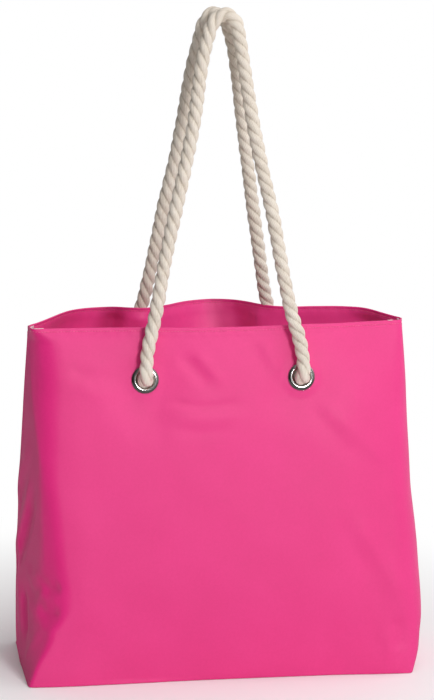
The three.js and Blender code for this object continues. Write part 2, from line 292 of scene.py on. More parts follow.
def back_cut(z):
    """The same for the back half, from the right seam round to the left one."""
    right, left = keyed(HEIGHTS, BACK_RIGHT, z), keyed(HEIGHTS, BACK_LEFT, z)
    x = left[0] + (right[0] - left[0]) * np.linspace(1, 0, WALL_SAMPLES)
    # the waves keep their place across the wall; only the ends move with the corners
    row = keyed(BACK_HEIGHTS, BACK_Y, z)
    y = flowing(BACK_X, row, np.clip(x, BACK_X[0], BACK_X[-1]))
    y = (
        y
        + (right[1] - y[0]) * smooth((x - 0.72 * right[0]) / (0.28 * right[0]))
        + (left[1] - y[-1]) * smooth((x - 0.72 * left[0]) / (0.28 * left[0]))
    )
    seams = keyed(HEIGHTS, RIGHT_SEAM, z), keyed(HEIGHTS, LEFT_SEAM, z)
    return seams[0], right, np.stack([x, y], 1), left, seams[1], None


def level_points(seam_a, corner_a, wall, corner_b, seam_b, sag):
    """Rounds the two corners of a level cut and spreads the grid columns along it."""
    t = np.linspace(0, 1, SIDE_SAMPLES)
    side_a = seam_a + (corner_a[:2] - seam_a) * t[:, None]
    side_b = corner_b[:2] + (seam_b - corner_b[:2]) * t[:, None]
    if sag is not None:
        out, turn = sag
        bulge = out * np.minimum(t / turn, (1 - t) / (1 - turn))
        for _ in range(14):
            bulge[1:-1] = 0.25 * bulge[:-2] + 0.5 * bulge[1:-1] + 0.25 * bulge[2:]
        direction = unit(corner_a[:2] - seam_a)
        side_a = side_a + bulge[:, None] * np.array([direction[1], -direction[0]])
    line = np.concatenate([side_a[:-1], wall, side_b[1:]])
    s = arc_length(line)
    at_a, at_b = s[SIDE_SAMPLES - 1], s[SIDE_SAMPLES + WALL_SAMPLES - 2]
    rounded = line.copy()
    for at, room, corner in ((at_a, at_a, corner_a), (at_b, s[-1] - at_b, corner_b)):
        reach = min(corner[2], 0.93 * room)
        near = np.abs(s - at) < reach
        t = ((s[near] - at + reach) / (2 * reach))[:, None]
        start, end = sample(at - reach, s, line), sample(at + reach, s, line)
        rounded[near] = (1 - t) ** 2 * start + 2 * t * (1 - t) * corner[:2] + t**2 * end
    spread = np.concatenate([
        np.linspace(0, at_a, SIDE_COLS + 1)[:-1],
        np.linspace(at_a, at_b, WALL_COLS + 1)[:-1],
        np.linspace(at_b, s[-1], SIDE_COLS + 1),
    ])
    return sample(spread, s, rounded)


def rim_height(xy, half):
    """The rim rises a little at the front eyelets, and more along the back."""
    if half == "front":
        return RIM + 0.5 * np.exp(-(((np.abs(xy[:, 0]) - EYE_X) / 26) ** 2))
    return RIM + 3.3 * smooth((xy[:, 1] + 12) / 55)


def shell(half):
    cut = front_cut if half == "front" else back_cut
    grid = np.zeros((len(ROWS), COLUMNS, 3))
    for j, v in enumerate(ROWS):
        grid[j, :, :2] = level_points(*cut(v * CUT_HEIGHT))
    grid[..., 2] = ROWS[:, None] * rim_height(grid[-1, :, :2], half)
    # takes out the faint kinks where the stretches join
    for _ in range(3):
        xy = grid[..., :2].copy()
        grid[:, 1:-1, :2] = 0.25 * xy[:, :-2] + 0.5 * xy[:, 1:-1] + 0.25 * xy[:, 2:]
    return grid


def outward(grid):
    return unit(np.cross(np.gradient(grid, axis=1), np.gradient(grid, axis=0)), 1e-12)


def level_out(grid):
    normal = outward(grid)
    normal[..., 2] = 0
    return unit(normal, 1e-12)


# ------------------------------------------------------------------ folds and creases
# Each ridge, or dent if the height is below 0: width, height, points along its line.
# The points are (x, z) on the walls and (y, z) on the sides.
FRONT_FOLDS = [
    # the pull of the handles between and beside the eyelets
    (8, -1.5, [(-45, 338), (-32, 322), (-14, 302)]),
    (7, 0.8, [(-30, 340), (-16, 322), (2, 303)]),
    (8, 1.0, [(37, 352), (50, 330), (60, 306)]),
    (7, -0.5, [(24, 350), (36, 328), (45, 310)]),
    (9, 1.3, [(92, 292), (124, 262), (157, 232), (172, 214)]),
    (9, -0.7, [(88, 282), (112, 250), (140, 222)]),
    (5, -0.8, [(-62, 288), (-20, 282), (24, 286)]),
    (5, -0.6, [(-60, 262), (-20, 256), (14, 260)]),
    (6, 0.5, [(-58, 275), (-18, 270), (30, 273)]),
    (7, -0.7, [(-158, 322), (-130, 312), (-112, 318)]),
    (7, 0.6, [(-150, 305), (-128, 296), (-104, 300)]),
    # long soft ridge running to the lower right corner, with dents beside it
    (11, 1.8, [(130, 172), (152, 138), (172, 108), (190, 72)]),
    (12, -1.0, [(112, 168), (140, 128), (160, 96)]),
    (8, -1.8, [(180, 62), (186, 44), (184, 24)]),
    (6, 0.8, [(168, 46), (174, 28), (172, 14)]),
    (8, -0.6, [(150, 60), (160, 40), (158, 22)]),
    # crumpled patches on the slanting part of the left fold
    (5, -2.4, [(-190, 108), (-177, 99), (-165, 104)]),
    (4, 1.5, [(-190, 93), (-178, 87), (-167, 91)]),
    (5, -2.4, [(-191, 79), (-180, 72), (-166, 77)]),
    (4.5, 1.4, [(-188, 63), (-179, 56), (-169, 60)]),
    # lower left, where the boxed corner folds
    (9, -0.8, [(-176, 12), (-164, 40), (-154, 64)]),
]
BACK_FOLDS = [
    (9, 5.5, [(-97, 392), (-98, 350), (-102, 322), (-108, 280)]),
    (8, -2.4, [(-71, 392), (-72, 352), (-72, 338)]),
    (9, 3.0, [(160, 385), (160, 345), (152, 300)]),
    (8, -3.0, [(57, 394), (57, 350), (54, 318)]),
    (8, 1.8, [(36, 394), (37, 352), (38, 322)]),
    (9, 1.3, [(-86, 292), (-118, 256), (-150, 214)]),
    (9, 1.2, [(84, 290), (112, 250), (140, 200)]),
    (8, -1.2, [(-64, 286), (-34, 262), (2, 250), (40, 262), (66, 286)]),
    (8, 0.8, [(-50, 268), (-4, 238), (52, 266)]),
    (9, 1.3, [(-160, 96), (-176, 60), (-190, 20)]),
    (9, 1.4, [(150, 110), (172, 66), (190, 18)]),
    (9, -1.0, [(134, 90), (158, 50), (170, 20)]),
]
LEFT_FOLDS = [
    (6, 2.2, [(-36, 214), (-20, 168), (4, 112)]),
    (6, -2.4, [(-42, 192), (-26, 152), (-4, 104)]),
    (8, 1.2, [(-30, 250), (-14, 214), (10, 170)]),
    (5, 1.3, [(-50, 112), (-36, 104), (-22, 110)]),
    (5, -1.6, [(-54, 98), (-40, 88), (-22, 92)]),
    (5, 1.2, [(-54, 80), (-42, 70), (-26, 74)]),
    (4.5, -2.6, [(-18, 90), (-24, 64), (-32, 36)]),
    (6, 1.2, [(-8, 92), (-12, 64), (-20, 34)]),
    (6, 1.2, [(-62, 58), (-50, 38), (-40, 16)]),
    (12, -2.0, [(30, 180), (44, 120), (52, 60)]),
    (9, -1.6, [(6, 60), (36, 34), (62, 12)]),
]
RIGHT_FOLDS = [
    (10, 2.0, [(-22, 170), (-4, 140), (16, 96)]),
    (9, -2.0, [(-30, 140), (-14, 110), (4, 74)]),
    (8, -1.8, [(-60, 44), (-36, 30), (-10, 14)]),
    (11, -2.2, [(40, 190), (48, 120), (50, 70)]),
    (9, -1.6, [(10, 54), (38, 30), (62, 12)]),
]
FOLD_FADE = 0.25  # share of a fold's length over which each end fades


def fold_relief(across, z, folds):
    """Height of a set of folds over a grid."""
    total = np.zeros_like(z)
    for width, height, line in folds:
        line = np.array(line, float)
        s = arc_length(line)
        nearest = np.full(z.shape, 1e9)
        along = np.zeros_like(z)
        for i in range(len(line) - 1):
            (px, pz), step = line[i], line[i + 1] - line[i]
            t = ((across - px) * step[0] + (z - pz) * step[1]) / (step @ step)
            t = np.clip(t, 0, 1)
            gap = np.hypot(across - px - t * step[0], z - pz - t * step[1])
            closer = gap < nearest
            nearest = np.where(closer, gap, nearest)
            along = np.where(closer, (s[i] + t * (s[i + 1] - s[i])) / s[-1], along)
        ends = smooth(along / FOLD_FADE) * smooth((1 - along) / FOLD_FADE)
        total += height * np.exp(-((nearest / width) ** 2)) * (0.15 + 0.85 * ends)
    return total


def front_waves(x, z):
    """The wide, very shallow unevenness of a hung cloth."""
    return (
        0.9 * np.sin(x / 61.0 + 0.7) * np.sin(z / 83.0 + 0.4)
        + 0.5 * np.sin(x / 27.0 - z / 49.0 + 1.3)
        + 0.25 * np.sin(x / 13.0 + z / 37.0) * np.sin(z / 17.0)
    )


def back_waves(x, z):
    return (
        0.9 * np.sin(x / 57.0 + 2.1) * np.sin(z / 79.0 + 1.1)
        + 0.5 * np.sin(x / 29.0 + z / 53.0 + 0.3)
    )


def relief(grid, half):
    x, y, z = np.moveaxis(grid, 2, 0)
    if half == "front":
        on_wall = smooth((-y - 10) / 20)
        wall = fold_relief(x, z, FRONT_FOLDS) + front_waves(x, z)
    else:
        on_wall = smooth((y - 10) / 20)
        wall = fold_relief(x, z, BACK_FOLDS) + back_waves(x, z)
    left = smooth((-x - 160) / 25) * fold_relief(y, z, LEFT_FOLDS)
    right = smooth((x - 160) / 25) * fold_relief(y, z, RIGHT_FOLDS)
    return wall * on_wall + (left + right)


def near_eyelets(points, reach, fade):
    """1 round the eyelets, falling to 0 at reach."""
    return np.maximum(*[
        smooth((reach - np.hypot(points[..., 0] - x, points[..., 2] - EYE_Z)) / fade)
        for x in (-EYE_X, EYE_X)
    ])


def folded_shell(half):
    flat = shell(half)
    grid = flat + outward(flat) * relief(flat, half)[..., None]
    # the folds fade out at the eyelets, at the very foot and, mostly, at the rim
    calm = np.maximum(near_eyelets(grid, 24, 10), smooth((6 - grid[..., 2]) / 6))
    calm = np.maximum(calm, 0.75 * smooth((grid[..., 2] - 350) / 10))
    return grid + (flat - grid) * calm[..., None]


# ------------------------------------------------------------------ cloth, let go for twenty frames
DRAPE_ROWS, DRAPE_COLS = 56, 124
DRAPE_FRAMES = 20
DRAPE_LIMIT = 4.5
CLOTH_SETTINGS = dict(
    quality=6,
    mass=0.2,
    tension_stiffness=18,
    compression_stiffness=18,
    shear_stiffness=6,
    bending_stiffness=0.6,
    tension_damping=8,
    compression_damping=8,
    bending_damping=1.0,
    air_damping=2,
    vertex_group_mass="hold",
    pin_stiffness=2,
    use_pressure=True,
    uniform_pressure_force=1.6,
    shrink_min=-0.009,
)


def simulate(points, faces, hold):
    """Where the points end up after the cloth has run, in millimetres."""
    ob = mesh_object("drape_tmp", points, faces)
    group = ob.vertex_groups.new(name="hold")
    for i, weight in enumerate(hold):
        if weight > 0.01:
            group.add([i], float(weight), "REPLACE")
    cloth = ob.modifiers.new("cloth", "CLOTH")
    for name, value in CLOTH_SETTINGS.items():
        setattr(cloth.settings, name, value)
    cloth.settings.effector_weights.gravity = 0
    cloth.collision_settings.use_collision = False
    cloth.collision_settings.use_self_collision = False
    cloth.point_cache.frame_start, cloth.point_cache.frame_end = 1, DRAPE_FRAMES
    for f in range(1, DRAPE_FRAMES + 1):
        scene.frame_set(f)
    settled = ob.evaluated_get(bpy.context.evaluated_depsgraph_get())
    mesh = settled.to_mesh()
    coords = np.zeros(len(mesh.vertices) * 3, np.float32)
    mesh.vertices.foreach_get("co", coords)
    settled.to_mesh_clear()
    scene.frame_set(1)
    bpy.data.objects.remove(ob, do_unlink=True)
    return coords.reshape(-1, 3) / MM


def drape(front, back):
    """Lets the ring of cloth settle under a little inside pressure, held at the foot, the
    rim, the seams and the eyelets. Returns the movement of each half on a coarse grid."""
    halves = [resample(g, DRAPE_ROWS, DRAPE_COLS)[:, :-1] for g in (front, back)]
    ring = np.concatenate(halves, 1)
    around = ring.shape[1]
    seam = DRAPE_COLS - 1
    points = ring.reshape(-1, 3)
    z = points[:, 2] / RIM
    hold = np.maximum(smooth((0.05 - z) / 0.05), smooth((z - 0.955) / 0.03))
    hold = np.maximum(hold, near_eyelets(points, 30, 12))
    for col in (0, seam):
        gap = np.abs(np.arange(around) - col)
        gap = np.minimum(gap, around - gap)
        hold = np.maximum(hold, np.tile(0.9 * np.exp(-((gap / 3.0) ** 2)), DRAPE_ROWS))

    moved = simulate(points, tube_faces(DRAPE_ROWS, around), hold) - points
    length = np.linalg.norm(moved, axis=1, keepdims=True)
    moved = moved * np.minimum(1, DRAPE_LIMIT / np.maximum(length, 1e-9)) * (1 - hold[:, None])
    move = moved.reshape(DRAPE_ROWS, around, 3)
    # only the broad movement is kept, and less of it near the rim and the foot
    for _ in range(5):
        move = 0.25 * np.roll(move, 1, 1) + 0.5 * move + 0.25 * np.roll(move, -1, 1)
        move[1:-1] = 0.25 * move[:-2] + 0.5 * move[1:-1] + 0.25 * move[2:]
    z = ring[..., 2] / RIM
    keep = 1 - 0.55 * smooth((z - 0.72) / 0.2) - 0.5 * smooth((0.3 - z) / 0.22)
    move = move * keep[..., None]
    # the narrow sides keep most of their shape
    move = move * (1 - 0.8 * smooth((np.abs(ring[..., 0]) - 118) / 56))[..., None]
    return move[:, : seam + 1], np.concatenate([move[:, seam:], move[:, :1]], 1)


def spread_rows(move):
    """Coarse movement carried over to the uneven rows of the fine grid."""
    count = 241
    even = resample(move, count, COLUMNS)
    index = np.arange(len(ROWS))
    heights = np.interp(np.linspace(0, len(ROWS) - 1, count), index, ROWS)
    source = np.interp(ROWS, heights, np.arange(count))
    i = np.clip(source.astype(int), 0, count - 2)
    t = (source - i)[:, None, None]
    return even[i] * (1 - t) + even[i + 1] * t


def held(grid):
    """1 where the cloth must stay where it is: foot, rim, round the eyelets."""
    z = grid[..., 2] / RIM
    ends = np.maximum(smooth((0.03 - z) / 0.03), smooth((z - 0.97) / 0.03))
    return np.maximum(ends, near_eyelets(grid, 26, 12))


grids = {half: folded_shell(half) for half in HALVES}
for grid, move in zip(grids.values(), drape(grids["front"], grids["back"])):
    grid += spread_rows(move) * (1 - held(grid))[..., None]
# both halves share the seam lines
for front_col, back_col in ((0, -1), (-1, 0)):
    shared = 0.5 * (grids["front"][:, front_col] + grids["back"][:, back_col])
    grids["front"][:, front_col] = shared
    grids["back"][:, back_col] = shared


# ------------------------------------------------------------------ where the eyelets sit
Eyelet = namedtuple("Eyelet", "centre out across up")


def find_eyelet(grid, x, side):
    """An eyelet's centre and axes on the wall whose y has the sign of side."""
    points = grid.reshape(-1, 3)
    gap = np.hypot(points[:, 0] - x, points[:, 2] - EYE_Z)
    weight = np.exp(-((gap / 5.0) ** 2)) * (np.sign(points[:, 1]) == side)
    out = unit((outward(grid).reshape(-1, 3) * weight[:, None]).sum(0))
    # a plane fitted to the wall gives its y there
    near = weight > 1e-4
    w, p = weight[near], points[near]
    plane = np.stack([np.ones(len(p)), p[:, 0] - x, p[:, 2] - EYE_Z], 1)
    y = np.linalg.lstsq(plane * w[:, None], p[:, 1] * w, rcond=None)[0][0]
    across = unit(np.cross(out, [0, 0, 1.0]))
    return Eyelet(np.array([x, y, EYE_Z]), out, across, np.cross(across, out))


EYELETS = {
    half: [find_eyelet(grids[half], x, side) for x in (-EYE_X, EYE_X)]
    for half, side in (("front", -1), ("back", 1))
}

# ------------------------------------------------------------------ walls: cloth with a turned hem
# (distance in, z) of the edges tucked under the bottom panel
FOOT_OUTER = ((5.0, 0.75), (2.6, 0.15), (1.0, 0.2))
FOOT_INNER = ((2.4, 2.0), (5.0, 1.7))
RIM_TURN = (35, 70, 110, 145, 180)
# (depth below the rim, distance in from the outer face) down the inside of the hem
HEM_INSIDE = (
    (0.6, HEM_T),
    (1.8, HEM_T + 0.1),
    (STITCH_DOWN, HEM_T - 0.4),
    (4.4, HEM_T),
    (7, HEM_T - 0.03),
    (9.5, HEM_T - 0.1),
    (HEM_DEPTH, 0.5 * (HEM_T + CLOTH_T)),
    (HEM_DEPTH + 2.5, CLOTH_T + 0.08),
    (HEM_DEPTH + 4, CLOTH_T),
)
OUTER_ROWS = len(FOOT_OUTER) + len(ROWS)
# the rows down the inside start here; their faces take the brighter inside colour, which is painted
# light
INSIDE_LIT_FROM = OUTER_ROWS + len(RIM_TURN) + 1
HOLE_R = 9.6


def cloth_uv(grid):
    """Distances along the cloth: across from the middle column, up from the rim."""
    widths = np.linalg.norm(np.diff(grid, axis=1), axis=2)
    u = np.concatenate([np.zeros((len(grid), 1)), np.cumsum(widths, 1)], 1)
    u = u - u[:, [COLUMNS // 2]]
    heights = np.linalg.norm(np.diff(grid, axis=0), axis=2)
    v = np.concatenate([np.zeros((1, COLUMNS)), np.cumsum(heights, 0)], 0)
    return np.stack([u, v - v[-1:]], 2)


def row_at(grid, uv, depth):
    """The row of points a given distance below the rim, along the cloth."""
    return np.array([
        [np.interp(-depth, uv[:, i, 1], grid[:, i, c]) for c in range(3)]
        for i in range(COLUMNS)
    ])


def sewn_relief(uv):
    """How stitching and seams shape the cloth."""
    below = -uv[..., 1]
    # a shallow channel under the edge stitching, fuller above and below it
    pull = -0.55 * np.exp(-(((below - STITCH_DOWN) / 0.9) ** 2))
    pull += 0.25 * np.exp(-(((below - 1.2) / 1.0) ** 2))
    pull += 0.18 * np.exp(-(((below - 6.0) / 2.2) ** 2))
    # faint pucker along the stitched edge
    ripple = np.sin(uv[..., 0] / 2.1 + 1.7 * np.sin(uv[..., 0] / 19.0))
    pull += 0.16 * ripple * np.exp(-(((below - 4.0) / 4.0) ** 2)) * (below > 0.5)
    # the seams draw the cloth in
    edge = np.minimum(np.arange(COLUMNS), np.arange(COLUMNS)[::-1])[None, :] * 2.2
    return pull - 1.1 * np.exp(-((edge / 1.6) ** 2)) + 0.35 * np.exp(-(((edge - 4.5) / 2.5) ** 2))


def wall_rows(sewn, uv, normal):
    """Rows up the outside, over the rim and down the inside."""
    rows, row_uv = [], []

    def put(points, coords, z=None):
        if z is not None:
            points[:, 2] = z
        rows.append(points)
        row_uv.append(coords)

    def put_foot(stations):
        for inset, z in stations:
            put(sewn[0] - normal[0] * inset, uv[0] - [0, inset], z)

    put_foot(FOOT_OUTER)
    for row, coords in zip(sewn, uv):
        put(row.copy(), coords, np.maximum(row[:, 2], 0.9))
    rim, rim_normal, r = sewn[-1], normal[-1], HEM_T / 2
    for angle in np.radians(RIM_TURN):
        top = rim[:, 2] + r * math.sin(angle)
        points = rim - rim_normal * (r - r * math.cos(angle))
        put(points, uv[-1] + [0, r * angle], top)
    for depth, inset in HEM_INSIDE:
        put(row_at(sewn, uv, depth) - rim_normal * inset, uv[-1] + [0, 4 + depth])
    for j in reversed(range(len(ROWS))):
        if ROWS[j] * RIM < RIM - HEM_DEPTH - 6:
            points = sewn[j] - normal[j] * CLOTH_T
            put(points, uv[j], np.maximum(points[:, 2], 2.4))
    put_foot(FOOT_INNER)
    return np.array(rows), np.array(row_uv)


def cut_hole(points, eye):
    """Snaps the points round a hole to its circle; returns which faces are cut away."""
    offset = points - eye.centre
    height = offset @ eye.out
    radial = offset - height[..., None] * eye.out
    r = np.linalg.norm(radial, axis=-1)
    inside = (np.abs(height) < 6) & (r < HOLE_R - 0.9)
    either = inside | np.roll(inside, -1, axis=0)
    cut = either[:, :-1] | either[:, 1:]
    touched = cut | np.roll(cut, 1, axis=0)
    edge = np.zeros_like(inside)
    edge[:, :-1] |= touched
    edge[:, 1:] |= touched
    edge &= ~inside
    points[edge] = (
        eye.centre + height[edge, None] * eye.out + radial[edge] * (HOLE_R / r[edge])[:, None]
    )
    return cut


def hole_lining(open_edges, points, eye):
    """Triangles joining a hole's edge in the outer layer to its edge in the inner one."""
    chains = []
    for inner in (False, True):
        follow = {
            a: b for a, b in open_edges
            if np.linalg.norm(points[a] - eye.centre) < 14
            and 0 < a % COLUMNS < COLUMNS - 1
            and (a // COLUMNS >= OUTER_ROWS) == inner
        }
        chain = [next(iter(follow))]
        while follow[chain[-1]] != chain[0]:
            chain.append(follow[chain[-1]])
        chains.append(chain)

    def angles(chain):
        offset = points[chain] - eye.centre
        return np.arctan2(offset @ eye.up, offset @ eye.across)

    turn = np.sign(np.median(np.diff(np.unwrap(angles(chains[0])))))

    def from_zero(chain):
        """The chain from the point nearest angle 0, and the angle at each next point."""
        first = int(np.argmin(np.abs(angles(chain))))
        chain = chain[first:] + chain[:first]
        a = np.unwrap(angles(chain))
        # a full turn closes the chain; the last value is past any angle
        return chain, [*((a - a[0]) * turn)[1:], 2 * math.pi, 99]

    outer, outer_next = from_zero(chains[0])
    inner, inner_next = from_zero(chains[1][::-1])
    faces = []
    i = k = 0
    while i < len(outer) or k < len(inner):
        a, b = outer[i % len(outer)], inner[k % len(inner)]
        if outer_next[i] <= inner_next[k]:
            i += 1
            faces.append((outer[i % len(outer)], a, b))
        else:
            k += 1
            faces.append((a, b, inner[k % len(inner)]))
    return faces


def seam_end(rows, column, flip):
    """Triangles closing the outline of the cloth at one of its end columns."""
    ring = [j * COLUMNS + column for j in range(rows)]
    faces = []
    low, high = 0, rows - 1
    while high - low > 1:
        for triangle in (
            (ring[low], ring[low + 1], ring[high]),
            (ring[low + 1], ring[high - 1], ring[high]),
        ):
            if len(set(triangle)) == 3:
                faces.append(triangle[::-1] if flip else triangle)
        low, high = low + 1, high - 1
    return faces


def make_wall(name, grid, eyelets):
    """One half of the bag, closed all round. Returns it with its outer grid and cloth
    coordinates."""
    uv = cloth_uv(grid)
    normal = level_out(grid)
    sewn = grid + normal * sewn_relief(uv)[..., None]
    points, coords = wall_rows(sewn, uv, normal)
    rows = len(points)
    whole = np.ones((rows, COLUMNS - 1), bool)
    for eye in eyelets:
        whole &= ~cut_hole(points, eye)
    points = points.reshape(-1, 3)
    faces, inside_lit = [], []
    for j in range(rows):
        a, b = j * COLUMNS, (j + 1) % rows * COLUMNS
        for i in range(COLUMNS - 1):
            if whole[j, i]:
                faces.append((a + i, a + i + 1, b + i + 1, b + i))
                inside_lit.append(1 if j >= INSIDE_LIT_FROM else 0)
    edges = [(f[k], f[(k + 1) % 4]) for f in faces for k in range(4)]
    uses = Counter(frozenset(edge) for edge in edges)
    open_edges = [edge for edge in edges if uses[frozenset(edge)] == 1]
    for eye in eyelets:
        faces += hole_lining(open_edges, points, eye)
    faces += seam_end(rows, 0, flip=False)
    faces += seam_end(rows, COLUMNS - 1, flip=True)
    ob = mesh_object(name, points, faces, uv=coords.reshape(-1, 2))
    polygons = ob.data.polygons
    # the inside faces take the second material, the brighter colour that is painted light
    polygons.foreach_set("material_index", inside_lit + [0] * (len(polygons) - len(inside_lit)))
    return ob, sewn, uv


walls = {h: make_wall(f"{h}_wall_fabric", grids[h], EYELETS[h]) for h in HALVES}
front_ob, front_sewn, _ = walls["front"]
back_ob, back_sewn, _ = walls["back"]


# ------------------------------------------------------------------ bottom
BOTTOM_SCALES = [0.985, 0.95, 0.9, 0.82, 0.72, 0.6, 0.46, 0.3, 0.14]
BOTTOM_T = 1.1


def underside_z(x, y):
    return 0.35 + 0.3 * (1 + math.sin(x / 41.0) * math.sin(y / 23.0 + 1))


def topside_z(x, y):
    return underside_z(x, y) + BOTTOM_T


def make_bottom():
    """A slightly uneven sheet inside the foot of the walls, with a low upstand all round."""
    foot = np.concatenate([front_sewn[0, :-1], back_sewn[0, :-1]])[:, :2]
    normal = np.concatenate([level_out(g)[0, :-1] for g in (front_sewn, back_sewn)])[:, :2]
    around = len(foot)
    points, faces, uv = [], [], []
    pairs = [(i, (i + 1) % around) for i in range(around)]

    def add_layer(upstand, inset, height, under):
        """Rings of the upstand as (inset, z), then shrinking rings, then a centre point."""
        first = len(points)
        rings = [(1, edge_inset, lambda x, y, z=z: z) for edge_inset, z in upstand]
        rings += [(scale, inset, height) for scale in BOTTOM_SCALES]
        for scale, ring_inset, z_at in rings:
            for x, y in (foot - normal * ring_inset) * scale:
                points.append((x, y, z_at(x, y)))
                uv.append((x, y))
        centre = len(points)
        points.append((0, 0, height(0, 0)))
        uv.append((0, 0))
        ordered = [(j, i) for i, j in pairs] if under else pairs
        for a in range(first, centre - around, around):
            b = a + around
            faces.extend((a + i, a + j, b + j, b + i) for i, j in ordered)
        last = centre - around
        faces.extend((last + i, last + j, centre) for i, j in ordered)
        return first

    under = add_layer([(1.6, 7.0), (1.3, 4.0), (1.2, 1.6), (2.2, 0.6)], 2.2, underside_z, True)
    top = add_layer([(2.4, 7.0), (2.3, 3.4), (3.2, 1.9)], 3.2, topside_z, False)
    faces.extend((under + i, under + j, top + j, top + i) for i, j in pairs)
    return mesh_object("bottom_fabric", points, faces, uv=uv)


bottom_ob = make_bottom()

# ------------------------------------------------------------------ stitching along the rim
STITCH_PITCH, STITCH_LENGTH, THREAD_R = 3.1, 2.55, 0.34
STITCH_RINGS, STITCH_AROUND = 7, 8


def stitch_run(name, centres, normals):
    """Separate stitches laid along a line of points."""
    s = arc_length(centres)
    span = np.linspace(-1, 1, STITCH_RINGS)
    full = np.sqrt(np.clip(1 - span**2, 0, 1)) ** 0.6
    lift = 0.36 * full - 0.12
    radius = THREAD_R * (0.25 + 0.75 * full)
    points, faces = [], []
    for k in range(int((s[-1] - 2 * STITCH_PITCH) / STITCH_PITCH)):
        middle = STITCH_PITCH * (k + 1) + 0.12 * math.sin(k * 12.9898)
        q = middle + STITCH_LENGTH * np.linspace(-0.5, 0.5, STITCH_RINGS)
        centre, normal = sample(q, s, centres), unit(sample(q, s, normals))
        across = np.cross(unit(np.gradient(centre, axis=0)), normal)
        faces += capped_tube_faces(STITCH_RINGS, STITCH_AROUND, start=len(points))
        for m in range(STITCH_RINGS):
            for a in range(STITCH_AROUND):
                t = 2 * math.pi * a / STITCH_AROUND
                rise = lift[m] + radius[m] * math.cos(t) * 0.8
                points.append(
                    centre[m] + normal[m] * rise + across[m] * radius[m] * math.sin(t)
                )
    return mesh_object(name, points, faces)


def rim_stitches(half):
    _, sewn, uv = walls[half]
    line = row_at(sewn, uv, STITCH_DOWN)
    normal = level_out(sewn)[-3]
    name = f"{half}_rim_stitching"
    outer = stitch_run(name + "_outer", line, normal)
    inner = stitch_run(name + "_inner", line - normal * (HEM_T - 0.35), -normal)
    return outer, inner


stitches = {half: rim_stitches(half) for half in HALVES}


# ------------------------------------------------------------------ seam binding tapes
def tape_along(name, line, across, inward, width, thick):
    """A flat closed strip with a slightly domed face, lying along a line."""
    span = np.linspace(-1, 1, 9)
    profile = [(t * width / 2, thick + 0.25 * math.cos(t * 1.4)) for t in span]
    profile += [(t * width / 2, 0.0) for t in span[::-1]]
    points, uv = [], []
    for i in range(len(line)):
        wave = 0.35 * math.sin(i * 0.9)
        for a, b in profile:
            points.append(line[i] + across[i] * (a + wave) + inward[i] * b)
            uv.append((a, i * 3.0))
    return mesh_object(name, points, capped_tube_faces(len(line), len(profile)), uv=uv)


def side_tape(name, left):
    """Bound seam allowance up the middle of a side, on the inside of the cloth."""
    reach = 3  # columns to either side of the seam
    first_row = 4

    def round_seam(front, back):
        before, after = (back, front) if left else (front, back)
        return np.concatenate([before[:, -1 - reach : -1], after[:, : reach + 1]], 1)

    surface = round_seam(front_sewn, back_sewn)
    normal = round_seam(level_out(front_sewn), level_out(back_sewn))
    normal[:, reach] = normal[:, reach - 1] + normal[:, reach + 1]
    normal = unit(normal)
    # it steps over the hem
    hem = smooth((surface[:, reach, 2] - (RIM - HEM_DEPTH - 3)) / 4) * (HEM_T - CLOTH_T)
    base = CLOTH_T + 0.35 + hem
    width = 2 * reach + 1
    points, uv = [], []
    for j in range(first_row, len(ROWS)):
        drop = np.array([0, 0, 0.5 if j == len(ROWS) - 1 else 0])
        inner = []
        for k in range(width):
            thick = 0.95 * (0.45 if k in (0, width - 1) else 1.0)
            inner.append((k, base[j] + thick + 0.15 * math.sin(j * 0.8 + k)))
        outer = [(k, base[j]) for k in reversed(range(width))]
        for k, inset in inner + outer:
            points.append(surface[j, k] - normal[j, k] * inset - drop)
            uv.append(((k - reach) * 2.0, j * 4.0))
    return mesh_object(
        name, points, capped_tube_faces(len(ROWS) - first_row, 2 * width), uv=uv
    )


def corner_tape(name, left):
    """Binding on the boxed corner seam, along the foot of a side."""
    front, back = front_sewn[2], back_sewn[2]
    before, after = (back, front) if left else (front, back)
    line = np.concatenate([before[-SIDE_COLS:-1], after[:SIDE_COLS]])[6:-6]
    line[:, 2] = 12.0
    along = unit(np.gradient(line, axis=0))
    inward = np.stack([-along[:, 1], along[:, 0], 0 * along[:, 0]], 1)
    inward = inward * -np.sign((line * inward).sum(1))[:, None]
    upright = np.tile([0, 0, 1.0], (len(line), 1))
    return tape_along(name, line + inward * 3.2, upright, inward, width=9.0, thick=1.2)


def rim_tack(name, first, last):
    """End of the binding on top of the front rim, near a corner."""
    normal = level_out(front_sewn)[-1, first : last + 1]
    line = front_sewn[-1, first : last + 1] - normal * (HEM_T * 0.42)
    line[:, 2] += HEM_T * 0.5 - 0.12
    upright = np.tile([0, 0, 1.0], (len(line), 1))
    return tape_along(name, line, normal, upright, width=1.25, thick=0.35)


tapes = {
    "left_side_seam_tape": side_tape("left_side_binding", left=True),
    "right_side_seam_tape": side_tape("right_side_binding", left=False),
    "left_corner_seam_tape": corner_tape("left_corner_binding", left=True),
    "right_corner_seam_tape": corner_tape("right_corner_binding", left=False),
}
LAST_WALL_COL = COLUMNS - 1 - SIDE_COLS
tacks = [
    rim_tack("left_rim_binding_end", SIDE_COLS + 1, SIDE_COLS + 7),
    rim_tack("right_rim_binding_end", LAST_WALL_COL - 8, LAST_WALL_COL - 5),
]


# ------------------------------------------------------------------ eyelets and washers
def arc(centre, radii, start, end, count):
    return [
        (centre[0] + radii[0] * math.cos(a), centre[1] + radii[1] * math.sin(a))
        for a in (math.radians(d) for d in np.linspace(start, end, count))
    ]


